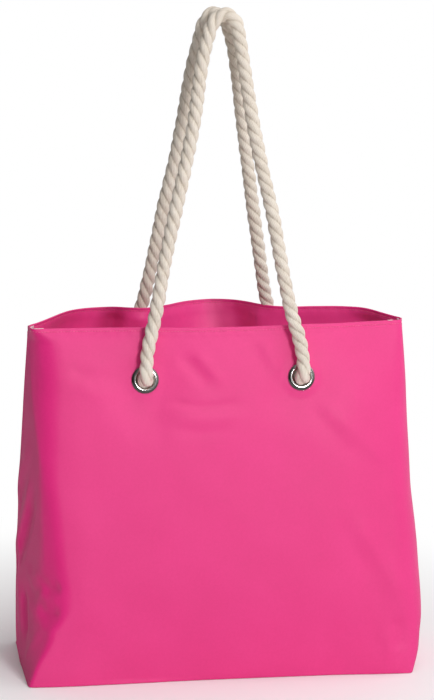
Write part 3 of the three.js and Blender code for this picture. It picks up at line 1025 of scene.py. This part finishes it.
# closed profiles: (radius, height out from the wall)
EYELET_PROFILES = {
    "ring": (
        [(8.75, -2.6), (8.75, 0.3)]
        + arc((10.1, 0.35), (1.35, 1.75), 180, 95, 9)
        + arc((10.4, -0.35), (3.8, 2.5), 82, 12, 13)
        + [(14.15, 0.12), (13.8, 0.02), (13.2, 0.0), (9.25, 0.0), (9.25, -2.6)]
    ),
    "curl": (
        [(8.75, -2.4), (9.3, -2.4), (9.3, -3.0)]
        + arc((9.9, -3.5), (1.1, 0.6), 60, -150, 12)
        + [(8.75, -3.9)]
    ),
    "washer": [
        (9.45, -1.25), (12.2, -1.25), (12.8, -1.5), (12.9, -1.9),
        (12.5, -2.3), (11.0, -2.75), (10.0, -2.75), (9.45, -2.5),
    ],
}
EYELET_SEGMENTS = 96


def turned(name, profile, eye):
    """A closed profile turned round the eyelet's axis."""
    points = []
    for i in range(EYELET_SEGMENTS):
        t = 2 * math.pi * i / EYELET_SEGMENTS
        radial = eye.across * math.cos(t) + eye.up * math.sin(t)
        points += [eye.centre + radial * r + eye.out * h for r, h in profile]
    return mesh_object(name, points, tube_faces(EYELET_SEGMENTS, len(profile), loop=True))


metal = {}
for half in HALVES:
    for side, eye in zip(("left", "right"), EYELETS[half]):
        metal[half, side] = {
            part: turned(f"{half}_{side}_eyelet_{part}", profile, eye)
            for part, profile in EYELET_PROFILES.items()
        }

# ------------------------------------------------------------------ rope handles
# path: (x, z) from left to right; side: sign of y; off: how far it stands towards +y,
# and shift: towards +x, just above its hinge. bend_start and bend_end: two (y, z)
# offsets from the hinge, in metres.
HANDLES = {
    "front": dict(
        path=[
            (-79.3, 335), (-75.2, 355), (-70.2, 376), (-61, 424), (-50, 474), (-40.5, 515),
            (-29.6, 567), (-22.2, 619), (-15.4, 648), (-9.2, 663.5), (2.6, 671),
            (12.2, 663.5), (16.2, 648), (20.8, 619), (29, 567), (39.6, 515), (49, 474),
            (58, 424), (68, 374), (74.6, 352), (78.6, 333),
        ],
        side=-1, off=3.0, shift=1.1,
        bend_start=(0.0067, -0.0060), bend_end=(-0.0039, 0.0046),
    ),
    "back": dict(
        path=[
            (-78.2, 332), (-72.5, 350), (-67, 370), (-57.5, 424), (-50, 470), (-40.2, 520),
            (-33.6, 562), (-26.2, 616), (-20.2, 645), (-15.2, 662), (-6, 671),
            (5, 663), (12.5, 645), (18.7, 616), (27.4, 562), (35.3, 515), (43, 470),
            (51.6, 424), (63, 368), (70.5, 348), (76.8, 330),
        ],
        side=1, off=4.0, shift=0.0,
        bend_start=(-0.0080, -0.0060), bend_end=(0.0076, 0.0096),
    ),
}
HANDLE_TOP_Z, HANDLE_TOP_Y = 671.0, 8.6
KNOT_R = 11.0
# places on the knot: (out along the eyelet's axis, sideways, up)
KNOT_TAIL = [(-36, 5.5, -44), (-35.0, 5.0, -33), (-33, 4.5, -22), (-29, 4.2, -14)]
KNOT_CORE = [
    (-13.5, 9.0, 1.5), (-19, 5.0, 4.0), (-22, 0.5, 1.5), (-17.5, -0.6, -0.6),
    (-12, 0, 0), (-6, 0, 0), (0, 0, 0), (3.2, 0, 0.2),
]
ROPE_LAY = 38.0
STRAND_R = 4.6
HELIX_R = 2.45
ROPE_SEGMENTS, ROPE_STEP = 63, 1.5


def hinge(half):
    """The handle's hinge line, as (y, z) in metres."""
    joint = next(j for j in frame["joints"] if j["child"] == f"{half}_handle")
    return joint["pos_m"][1], joint["pos_m"][2]


def catmull(points):
    """Points about 1 mm apart along a centripetal Catmull-Rom curve."""
    points = np.asarray(points, float)
    padded = [2 * points[0] - points[1], *points, 2 * points[-1] - points[-2]]
    pieces = []
    for i in range(len(points) - 1):
        p = padded[i : i + 4]
        t = [0.0]
        for a, b in zip(p, p[1:]):
            t.append(t[-1] + max(np.linalg.norm(b - a), 1e-6) ** 0.5)
        at = np.linspace(t[1], t[2], 40, endpoint=False)[:, None]

        def blend(a, b, i, j):
            return (t[j] - at) / (t[j] - t[i]) * a + (at - t[i]) / (t[j] - t[i]) * b

        a1, a2, a3 = (blend(p[k], p[k + 1], k, k + 1) for k in range(3))
        pieces.append(blend(blend(a1, a2, 0, 2), blend(a2, a3, 1, 3), 1, 2))
    curve = np.concatenate(pieces + [points[-1:]])
    s = arc_length(curve)
    return sample(np.linspace(0, s[-1], int(s[-1]) + 1), s, curve)


def end_path(eye, side_x):
    """From the tail end, round the overhand knot and out through the eyelet."""
    sideways = eye.across * np.sign(eye.across[0]) * side_x
    coil = []
    for k, angle in enumerate(np.radians(np.linspace(-70, 330, 21))):
        x, y = KNOT_R * math.cos(angle), KNOT_R * math.sin(angle)
        coil.append((-25.0 + 12.5 * (k / 20), x, y))
    return [
        eye.centre + eye.out * out + sideways * x + eye.up * y
        for out, x, y in KNOT_TAIL + coil[1:] + KNOT_CORE
    ]


def handle_line(half):
    spec = HANDLES[half]
    # the rope passes through the hinge line of the frame
    hinge_y, hinge_z = (c * 1000 for c in hinge(half))
    top_y = HANDLE_TOP_Y * spec["side"]
    loop = []
    for x, z in spec["path"]:
        near = math.exp(-(((z - hinge_z - 35) / 40) ** 2))
        rise = (z - hinge_z) / (HANDLE_TOP_Z - hinge_z)
        y = hinge_y + (top_y - hinge_y) * rise + spec["off"] * near
        loop.append(np.array([x + spec["shift"] * near, y, z]))
    ends = []
    for eye, side_x in zip(EYELETS[half], (-1, 1)):
        bend_x = eye.centre[0] + eye.out[0] * 10
        bend = [
            eye.centre + eye.out * 7.6 + np.array([0, 0, 1.6]),
            np.array([bend_x, hinge_y + 0.2 * spec["side"], hinge_z + 6.5]),
        ]
        ends.append(end_path(eye, side_x) + bend)
    return catmull(ends[0] + loop + ends[1][::-1])


def steady_frames(line):
    """Tangents, and two cross axes that turn as little as possible along the line."""
    tangents = unit(np.gradient(line, axis=0))
    normals = [unit(np.cross(tangents[0], [0.3, 0.2, 0.93]))]
    for i in range(1, len(line)):
        step = line[i] - line[i - 1]
        square = step @ step
        normal = normals[-1] - 2 / square * (step @ normals[-1]) * step
        tangent = tangents[i - 1] - 2 / square * (step @ tangents[i - 1]) * step
        change = tangents[i] - tangent
        square = change @ change
        if square > 1e-12:
            normal = normal - 2 / square * (change @ normal) * change
        normals.append(unit(normal))
    normals = np.array(normals)
    return tangents, normals, np.cross(tangents, normals)


def rope_fullness(centre, q, eyelets):
    """Scale of the rope's section at distances q along it."""
    full = 1 + 0.014 * np.sin(q / 17.0 + 0.5) + 0.010 * np.sin(q / 6.3)
    # it swells to fill the eyelets
    for eye in eyelets:
        gap = np.linalg.norm(centre - eye.centre - eye.out * 2.0, axis=1)
        full = full + 0.19 * np.exp(-((gap / 6.5) ** 2))
    # the cut ends draw in
    ends = np.clip(1 - np.minimum(q, q[-1] - q) / 4.0, 0, 1)
    return full * (0.55 + 0.45 * np.sqrt(np.clip(1 - ends**2, 0, 1)))


def add_attribute(mesh, name, kind, field, values):
    attribute = mesh.attributes.new(name, kind, "POINT")
    attribute.data.foreach_set(field, values.ravel())


def make_rope(half):
    """Three strands laid up together, as one surface: a trefoil that turns along it."""
    line = handle_line(half)
    s = arc_length(line)
    q = np.linspace(0, s[-1], int(s[-1] / ROPE_STEP) + 1)
    centre, tangent, normal, binormal = (
        sample(q, s, values) for values in (line, *steady_frames(line))
    )
    lay = -2 * math.pi * (q / ROPE_LAY + 0.014 * np.sin(q / 23.0) + 0.009 * np.sin(q / 9.1 + 1))
    full = rope_fullness(centre, q, EYELETS[half])
    phi = np.linspace(0, 2 * math.pi, ROPE_SEGMENTS, endpoint=False)
    third = 2 * math.pi / 3
    within = (phi + third / 2) % third - third / 2
    trefoil = HELIX_R * np.cos(within) + np.sqrt(STRAND_R**2 - (HELIX_R * np.sin(within)) ** 2)
    strand = np.floor((phi + third / 2) / third).astype(int) % 3
    # each strand has its own small swellings
    swelling = np.stack([
        0.10 * np.sin(q / (7.3 + 1.9 * k) + 2.1 * k) + 0.07 * np.sin(q / (3.1 + 0.7 * k) + k)
        for k in range(3)
    ], 1)
    crown = np.cos(within * 1.5)[None, :]
    angle = phi[None, :] + lay[:, None]
    # shallow flutes of the yarns, crossing the strands
    flute = np.sin(15 * angle + 0.05 * q[:, None] + strand[None, :] * 1.7)
    r = trefoil[None, :] + swelling[:, strand] * crown**2 + 0.05 * flute * crown
    r = r * full[:, None]
    radial = (
        normal[:, None, :] * np.cos(angle)[..., None]
        + binormal[:, None, :] * np.sin(angle)[..., None]
    )
    points = (centre[:, None, :] + r[..., None] * radial).reshape(-1, 3)
    skin = len(points)
    faces = tube_faces(len(q), ROPE_SEGMENTS)
    last = skin - ROPE_SEGMENTS
    pairs = [(j, (j + 1) % ROPE_SEGMENTS) for j in range(ROPE_SEGMENTS)]
    faces += [(skin, m, j) for j, m in pairs]
    faces += [(skin + 1, last + j, last + m) for j, m in pairs]
    tips = np.array([centre[0] - tangent[0] * 0.9, centre[-1] + tangent[-1] * 0.9])
    ob = mesh_object(f"{half}_rope_handle", np.concatenate([points, tips]), faces)
    # cosine and sine of the angle round the rope, and the distance along it
    coords = np.zeros((skin + 2, 3), np.float32)
    coords[:skin, 0] = np.cos(angle).ravel()
    coords[:skin, 1] = np.sin(angle).ravel()
    coords[:skin, 2] = np.repeat(q, ROPE_SEGMENTS)
    coords[-2:, 2] = q[[0, -1]]
    add_attribute(ob.data, "lay", "FLOAT_VECTOR", "vector", coords)
    # 0 on the crown of a strand, 1 in the groove between two
    groove = np.zeros(skin + 2, np.float32)
    groove[:skin] = np.tile(np.abs(within) / (third / 2), len(q))
    add_attribute(ob.data, "groove", "FLOAT", "value", groove)
    return ob


ropes = {half: make_rope(half) for half in HALVES}


# ------------------------------------------------------------------ shader building
class Value:
    """An output of a shader node; arithmetic on it adds Math nodes."""

    def __init__(self, graph, socket):
        self.graph, self.socket = graph, socket

    def math(self, operation, *others):
        return self.graph.math(operation, self, *others)

    def positive(self):
        return self.math("MAXIMUM", 0.0)

    def __add__(self, other):
        return self.math("ADD", other)

    def __radd__(self, other):
        return self.graph.math("ADD", other, self)

    def __sub__(self, other):
        return self.math("SUBTRACT", other)

    def __rsub__(self, other):
        return self.graph.math("SUBTRACT", other, self)

    def __mul__(self, other):
        return self.math("MULTIPLY", other)

    def __truediv__(self, other):
        return self.math("DIVIDE", other)


class Graph:
    """A node tree; the methods add nodes and, but for add, return their outputs."""

    def __init__(self, tree):
        self.tree = tree

    def feed(self, socket, value):
        if isinstance(value, Value):
            self.tree.links.new(value.socket, socket)
        else:
            socket.default_value = value

    def add(self, kind, **values):
        """A new node, its properties and inputs set by name, with _ for a space."""
        node = self.tree.nodes.new("ShaderNode" + kind)
        for name, value in values.items():
            if name in node.bl_rna.properties:
                setattr(node, name, value)
            else:
                self.feed(node.inputs[name.replace("_", " ")], value)
        return node

    def out(self, kind, output=0, **values):
        return Value(self, self.add(kind, **values).outputs[output])

    def indexed(self, kind, *inputs, **properties):
        """For nodes whose inputs share a name."""
        node = self.add(kind, **properties)
        for socket, value in zip(node.inputs, inputs):
            self.feed(socket, value)
        return Value(self, node.outputs[0])

    def math(self, operation, *inputs):
        return self.indexed("Math", *inputs, operation=operation)

    def split(self, vector):
        node = self.add("SeparateXYZ", Vector=vector)
        return [Value(self, socket) for socket in node.outputs]

    def noise(self, vector, scale, detail, roughness=0.5):
        return self.out(
            "TexNoise", Vector=vector, Scale=scale, Detail=detail, Roughness=roughness
        )

    def bump(self, height, strength, distance, **normal):
        return self.out("Bump", Height=height, Strength=strength, Distance=distance, **normal)

    def ramp(self, factor, *stops):
        """Colour ramp through (position, colour) stops."""
        node = self.add("ValToRGB", Fac=factor)
        elements = node.color_ramp.elements
        for element, (position, colour) in ((elements[0], stops[0]), (elements[1], stops[-1])):
            element.position = position
            element.color = (*colour, 1)
        for position, colour in stops[1:-1]:
            elements.new(position).color = (*colour, 1)
        return Value(self, node.outputs[0])


def new_material(name):
    material = bpy.data.materials.new(name)
    material.use_nodes = True
    material.node_tree.nodes.clear()
    return material, Graph(material.node_tree)


def principled(name, build):
    """A material from a function that returns the Principled inputs."""
    material, g = new_material(name)
    g.add("OutputMaterial", Surface=g.out("BsdfPrincipled", **build(g)))
    return material


# ------------------------------------------------------------------ materials
def fabric(name, dark, base, light, rough, thread_mm=0.62, weave=0.22, paint_left_shade=False):
    """Plain weave over a coated back: over-and-under threads, faint slubs, satin sheen."""
    def build(g):
        uv = g.out("UVMap", uv_map="cloth_mm")
        place = g.out("TexCoord", "Object")
        u_mm, v_mm, _ = g.split(uv)
        turns = math.pi / (UV_PER_MM * thread_mm)
        u, v = u_mm * turns, v_mm * turns
        # one set of threads lies on top where the product is positive
        over = (u * 0.5).math("SINE") * (v * 0.5).math("SINE")
        over = over.math("GREATER_THAN", 0.0)
        crown_u, crown_v = u.math("SINE").math("ABSOLUTE"), v.math("SINE").math("ABSOLUTE")
        threads = crown_u * over + crown_v * (1.0 - over)

        def slub_noise(stretch, detail):
            stretched = g.out("Mapping", Vector=uv, Scale=stretch)
            return g.noise(stretched, scale=1.0, detail=detail, roughness=0.6)

        slub_u = slub_noise((60.0, 900.0, 1.0), detail=3.0)
        slub_v = slub_noise((800.0, 40.0, 1.0), detail=2.0)
        cloud = g.noise(place, scale=14.0, detail=4.0, roughness=0.55)
        grain = g.noise(place, scale=420.0, detail=2.0, roughness=0.6)
        uneven = g.noise(place, scale=95.0, detail=3.0, roughness=0.5)
        tone = cloud * 0.30 + slub_u * 0.32 + slub_v * 0.20 + grain * 0.18
        specular = 0.5
        if paint_left_shade:
            # painted shade: the reflection is turned down where the cloth faces towards the left,
            # as on the slanting part of the left fold, to stand in for light that misses it there
            normal_x = g.split(g.out("NewGeometry", "Normal"))[0]
            left_shade_mask = (normal_x + 0.50) / 0.30
            left_shade_mask = (1.0 - left_shade_mask * left_shade_mask).positive()
            specular = 0.5 - left_shade_mask * 0.46
        # the cloth's unevenness over a few millimetres, the slubs, then the threads
        normal = g.bump(uneven, strength=0.10, distance=0.0012)
        normal = g.bump(slub_u, strength=0.10, distance=0.0006, Normal=normal)
        normal = g.bump(threads, strength=weave, distance=0.00016, Normal=normal)
        return dict(
            Base_Color=g.ramp(tone, (0.34, dark), (0.5, base), (0.66, light)),
            Roughness=cloud * 0.16 + (rough - 0.08),
            Specular_IOR_Level=specular,
            Sheen_Weight=0.12,
            Sheen_Roughness=0.45,
            Sheen_Tint=(1.0, 0.72, 0.84, 1),
            Normal=normal,
        )

    return principled(name, build)


def cotton(g):
    around_x, around_y, along = g.split(g.out("Attribute", "Vector", attribute_name="lay"))
    groove = g.out("Attribute", "Fac", attribute_name="groove")
    place = g.out("TexCoord", "Object")
    angle = around_y.math("ARCTAN2", around_x)
    # fibres drawn out along the rope
    drawn = g.out("CombineXYZ", X=around_x * 9.0, Y=around_y * 9.0, Z=along * 0.22)
    fibre = g.noise(drawn, scale=1.0, detail=4.0, roughness=0.65)
    cloud = g.noise(place, scale=55.0, detail=4.0, roughness=0.6)
    fine = g.noise(place, scale=1300.0, detail=2.0, roughness=0.7)
    phase = angle * 26.0 + along * 0.9 + fibre * 3.0
    yarn = (phase * 0.5).math("SINE").math("ABSOLUTE")
    tone = fibre * 0.40 + cloud * 0.30 + fine * 0.18 + yarn * 0.10
    # shade gathers between the strands
    tone = tone - groove.math("POWER", 5.0) * 0.17
    normal = g.bump(yarn, strength=0.5, distance=0.0005)
    normal = g.bump(fibre, strength=0.45, distance=0.0007, Normal=normal)
    normal = g.bump(fine, strength=0.4, distance=0.0003, Normal=normal)
    return dict(
        Base_Color=g.ramp(
            tone,
            (0.28, (0.42, 0.345, 0.27)),
            (0.42, (0.69, 0.605, 0.51)),
            (0.54, (0.775, 0.70, 0.615)),
            (0.70, (0.83, 0.775, 0.70)),
        ),
        Roughness=0.94,
        Specular_IOR_Level=0.12,
        Sheen_Weight=0.2,
        Sheen_Roughness=0.6,
        Sheen_Tint=(1, 0.95, 0.88, 1),
        Normal=normal,
    )


def nickel(g):
    place = g.out("TexCoord", "Object")
    fine = g.noise(place, scale=600.0, detail=4.0, roughness=0.6)
    cloud = g.noise(place, scale=90.0, detail=2.0, roughness=0.5)
    return dict(
        Base_Color=g.ramp(cloud, (0.3, (0.52, 0.51, 0.49)), (0.7, (0.66, 0.65, 0.63))),
        Metallic=1.0,
        Roughness=fine * 0.14 + 0.10,
        Normal=g.bump(fine, strength=0.06, distance=0.0002),
    )


def thread(g):
    fibre = g.noise(g.out("TexCoord", "Object"), scale=900.0, detail=3.0, roughness=0.6)
    return dict(
        Base_Color=g.ramp(fibre, (0.35, (0.74, 0.05, 0.21)), (0.65, (0.86, 0.10, 0.30))),
        Roughness=0.5,
        Sheen_Weight=0.3,
        Normal=g.bump(fibre, strength=0.4, distance=0.0001),
    )


# the outer cloth, with painted shade: less reflection where it faces towards the left
mat_pink = fabric(
    "pink_polyester",
    dark=(0.745, 0.027, 0.204), base=(0.80, 0.031, 0.226), light=(0.845, 0.041, 0.254),
    rough=0.55, paint_left_shade=True,
)
# painted light: the inside of the walls is the same cloth as the outside, coloured brighter to
# stand in for the light that falls into the bag
mat_inside_lit = fabric(
    "pink_inside_painted_light",
    dark=(0.87, 0.042, 0.255), base=(0.92, 0.050, 0.285), light=(0.95, 0.062, 0.315),
    rough=0.5, weave=0.12,
)
mat_tape = fabric(
    "pale_binding",
    dark=(0.80, 0.48, 0.56), base=(0.86, 0.56, 0.63), light=(0.90, 0.66, 0.71),
    rough=0.7, thread_mm=0.8, weave=0.35,
)
mat_thread = principled("pink_thread", thread)
mat_rope = principled("cotton_rope", cotton)
mat_nickel = principled("nickel_plate", nickel)


def paint(ob, slot, *materials):
    for material in materials:
        ob.data.materials.append(material)


metal_parts = [ob for parts in metal.values() for ob in parts.values()]
for ob in (front_ob, back_ob, bottom_ob, *tapes.values(), *tacks, *ropes.values(), *metal_parts):
    face_outwards(ob)
for ob in (front_ob, back_ob):
    paint(ob, "coated_fabric", mat_pink, mat_inside_lit)
paint(bottom_ob, "coated_fabric", mat_pink)
for ob in (*stitches["front"], *stitches["back"]):
    paint(ob, "hem_fabric", mat_thread)
for ob in (*tapes.values(), *tacks):
    paint(ob, "binding_tape", mat_tape)
for ob in ropes.values():
    paint(ob, "cotton_rope", mat_rope)

# ------------------------------------------------------------------ ride on the frame
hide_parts("front_panel", "front_hem", "left_side_panel", "right_side_panel")
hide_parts("back_panel", "back_hem")
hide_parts("bottom_panel")
for ob in (front_ob, *stitches["front"], *tacks):
    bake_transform(ob)
for ob in (back_ob, *stitches["back"]):
    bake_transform(ob)
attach(bottom_ob, "bag")
for piece, ob in tapes.items():
    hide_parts(piece)
    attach(ob, "bag")
for (half, side), parts in metal.items():
    for ob in parts.values():
        paint(ob, "nickel", mat_nickel)
        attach(ob, f"{half}_wall")
    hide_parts(f"{half}_{side}_eyelet")
    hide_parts(f"{half}_{side}_washer")
for half, ob in ropes.items():
    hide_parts(f"{half}_handle_rope", f"{half}_left_knot", f"{half}_right_knot")
for half, ob in ropes.items():
    y, z = hinge(half)
    start, end = HANDLES[half]["bend_start"], HANDLES[half]["bend_end"]
    y + start[0]
    z + start[1]
    y + end[0]
    z + end[1]
    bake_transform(ob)

# ------------------------------------------------------------------ floor
FLOOR_HALF = 2200


def mix_shader(g, factor, first, second):
    return g.indexed("MixShader", factor, first, second)


def floor_material():
    """Pale paper that runs out into the white of the room."""
    material, g = new_material("floor_white")
    place = g.out("TexCoord", "Object")
    cloud = g.noise(place, scale=3.0, detail=2.0)
    paper = g.out(
        "BsdfPrincipled",
        Base_Color=g.ramp(cloud, (0.3, (0.95, 0.95, 0.95)), (0.7, (0.96, 0.96, 0.96))),
        Roughness=0.9,
        Specular_IOR_Level=0.1,
    )
    rays = g.add("LightPath").outputs
    camera_ray = Value(g, rays["Is Camera Ray"])
    glossy_ray = Value(g, rays["Is Glossy Ray"])
    # white, to the camera only, from 0.18 m out from the middle
    vector_length = g.add("VectorMath", operation="LENGTH")
    g.feed(vector_length.inputs[0], place)
    distance = Value(g, vector_length.outputs["Value"])
    fade = g.math("SMOOTH_MIN", 1.0, (distance - 0.18).positive() * 3.0, 0.2)
    shader = mix_shader(g, fade * camera_ray, paper, g.out("Emission", Strength=1.0))
    # the metal sees a darker room in front of it
    in_front = g.split(place)[1].math("LESS_THAN", 0.1)
    dim = g.out("Emission", Strength=0.06)
    shader = mix_shader(g, glossy_ray * in_front * 0.93, shader, dim)
    g.add("OutputMaterial", Surface=shader)
    return material


floor = mesh_object(
    "floor",
    [(x * FLOOR_HALF, y * FLOOR_HALF, 0) for x, y in ((-1, -1), (1, -1), (1, 1), (-1, 1))],
    [(0, 1, 2, 3)],
    smooth_shade=False,
)
floor.data.materials.append(floor_material())


# ------------------------------------------------------------------ world and lights
def light_world():
    """White to the camera; otherwise brighter overhead and to the right, dim to the left."""
    world = bpy.data.worlds.new("studio")
    scene.world = world
    world.use_nodes = True
    g = Graph(world.node_tree)
    x, y, z = g.split(g.out("TexCoord", "Generated"))
    glossy = g.out("LightPath", "Is Glossy Ray")
    camera = g.out("LightPath", "Is Camera Ray")
    overhead = z.positive() * 0.34
    right = (x * 0.85 + y * -0.2).positive() * 0.24
    # behind the bag, stronger in reflections
    back = y.positive().math("POWER", 2.0) * (0.18 + glossy * 0.45)
    # from the front right, kept out of reflections
    front = (y * -0.8 + x * 0.7).positive() * (1.0 - glossy) * 0.26
    ambient = overhead + right + (back + front) + 0.06
    # a black flag on the left keeps the sheen off the folded side
    flag = ((x * -1.0).positive() * 2.2).math("MINIMUM", 1.0)
    ambient = ambient * (1.0 - flag * glossy * 0.85)
    background = world.node_tree.nodes["Background"]
    g.feed(background.inputs[0], (1, 1, 1, 1))
    g.feed(background.inputs[1], camera + ambient * (1.0 - camera))


def area_light(name, location, target, size, power):
    light = bpy.data.lights.new(name, "AREA")
    light.shape = "RECTANGLE"
    light.size, light.size_y = size
    light.energy = power
    ob = bpy.data.objects.new(name, light)
    scene.collection.objects.link(ob)
    ob.location = location
    direction = Vector(target) - Vector(location)
    ob.rotation_euler = direction.to_track_quat("-Z", "Y").to_euler()


light_world()
area_light("key", location=(0.74, -2.6, 1.3), target=(0, 0, 0.28), size=(0.6, 0.7), power=39)
area_light("top", location=(0.5, -0.3, 2.3), target=(0, 0, 0.2), size=(1.2, 1.0), power=11)
area_light("side", location=(2.1, 0.5, 0.9), target=(0, 0, 0.3), size=(0.7, 1.2), power=4.5)

# ------------------------------------------------------------------ camera
HEADING, ROLL, TILT = (math.radians(d) for d in (9.58, 0.99, 11.86))
CAMERA_BACK, CAMERA_HEIGHT, CAMERA_RIGHT = 2.5385, 0.862, 0.00104
FOCAL_LENGTH = 130.5514286

level_right = np.array([math.cos(HEADING), -math.sin(HEADING), 0])
level_ahead = np.array([math.sin(HEADING), math.cos(HEADING), 0])
world_up = np.array([0, 0, 1.0])
position = -CAMERA_BACK * level_ahead + CAMERA_RIGHT * level_right + CAMERA_HEIGHT * world_up
ahead = math.cos(TILT) * level_ahead - math.sin(TILT) * world_up
tilted_up = math.cos(TILT) * world_up + math.sin(TILT) * level_ahead
camera_right = math.cos(ROLL) * level_right + math.sin(ROLL) * tilted_up
camera_up = -math.sin(ROLL) * level_right + math.cos(ROLL) * tilted_up

camera_data = bpy.data.cameras.new("camera")
camera_data.sensor_fit = "AUTO"
camera_data.sensor_width = 36.0
camera_data.lens = FOCAL_LENGTH
camera_data.clip_end = 50
camera = bpy.data.objects.new("camera", camera_data)
scene.collection.objects.link(camera)
pose = np.eye(4)
pose[:3] = np.stack([camera_right, camera_up, -ahead, position], 1)
camera.matrix_world = Matrix(pose.tolist())
scene.camera = camera
scene.view_settings.view_transform = "Standard"
scene.view_settings.look = "None"
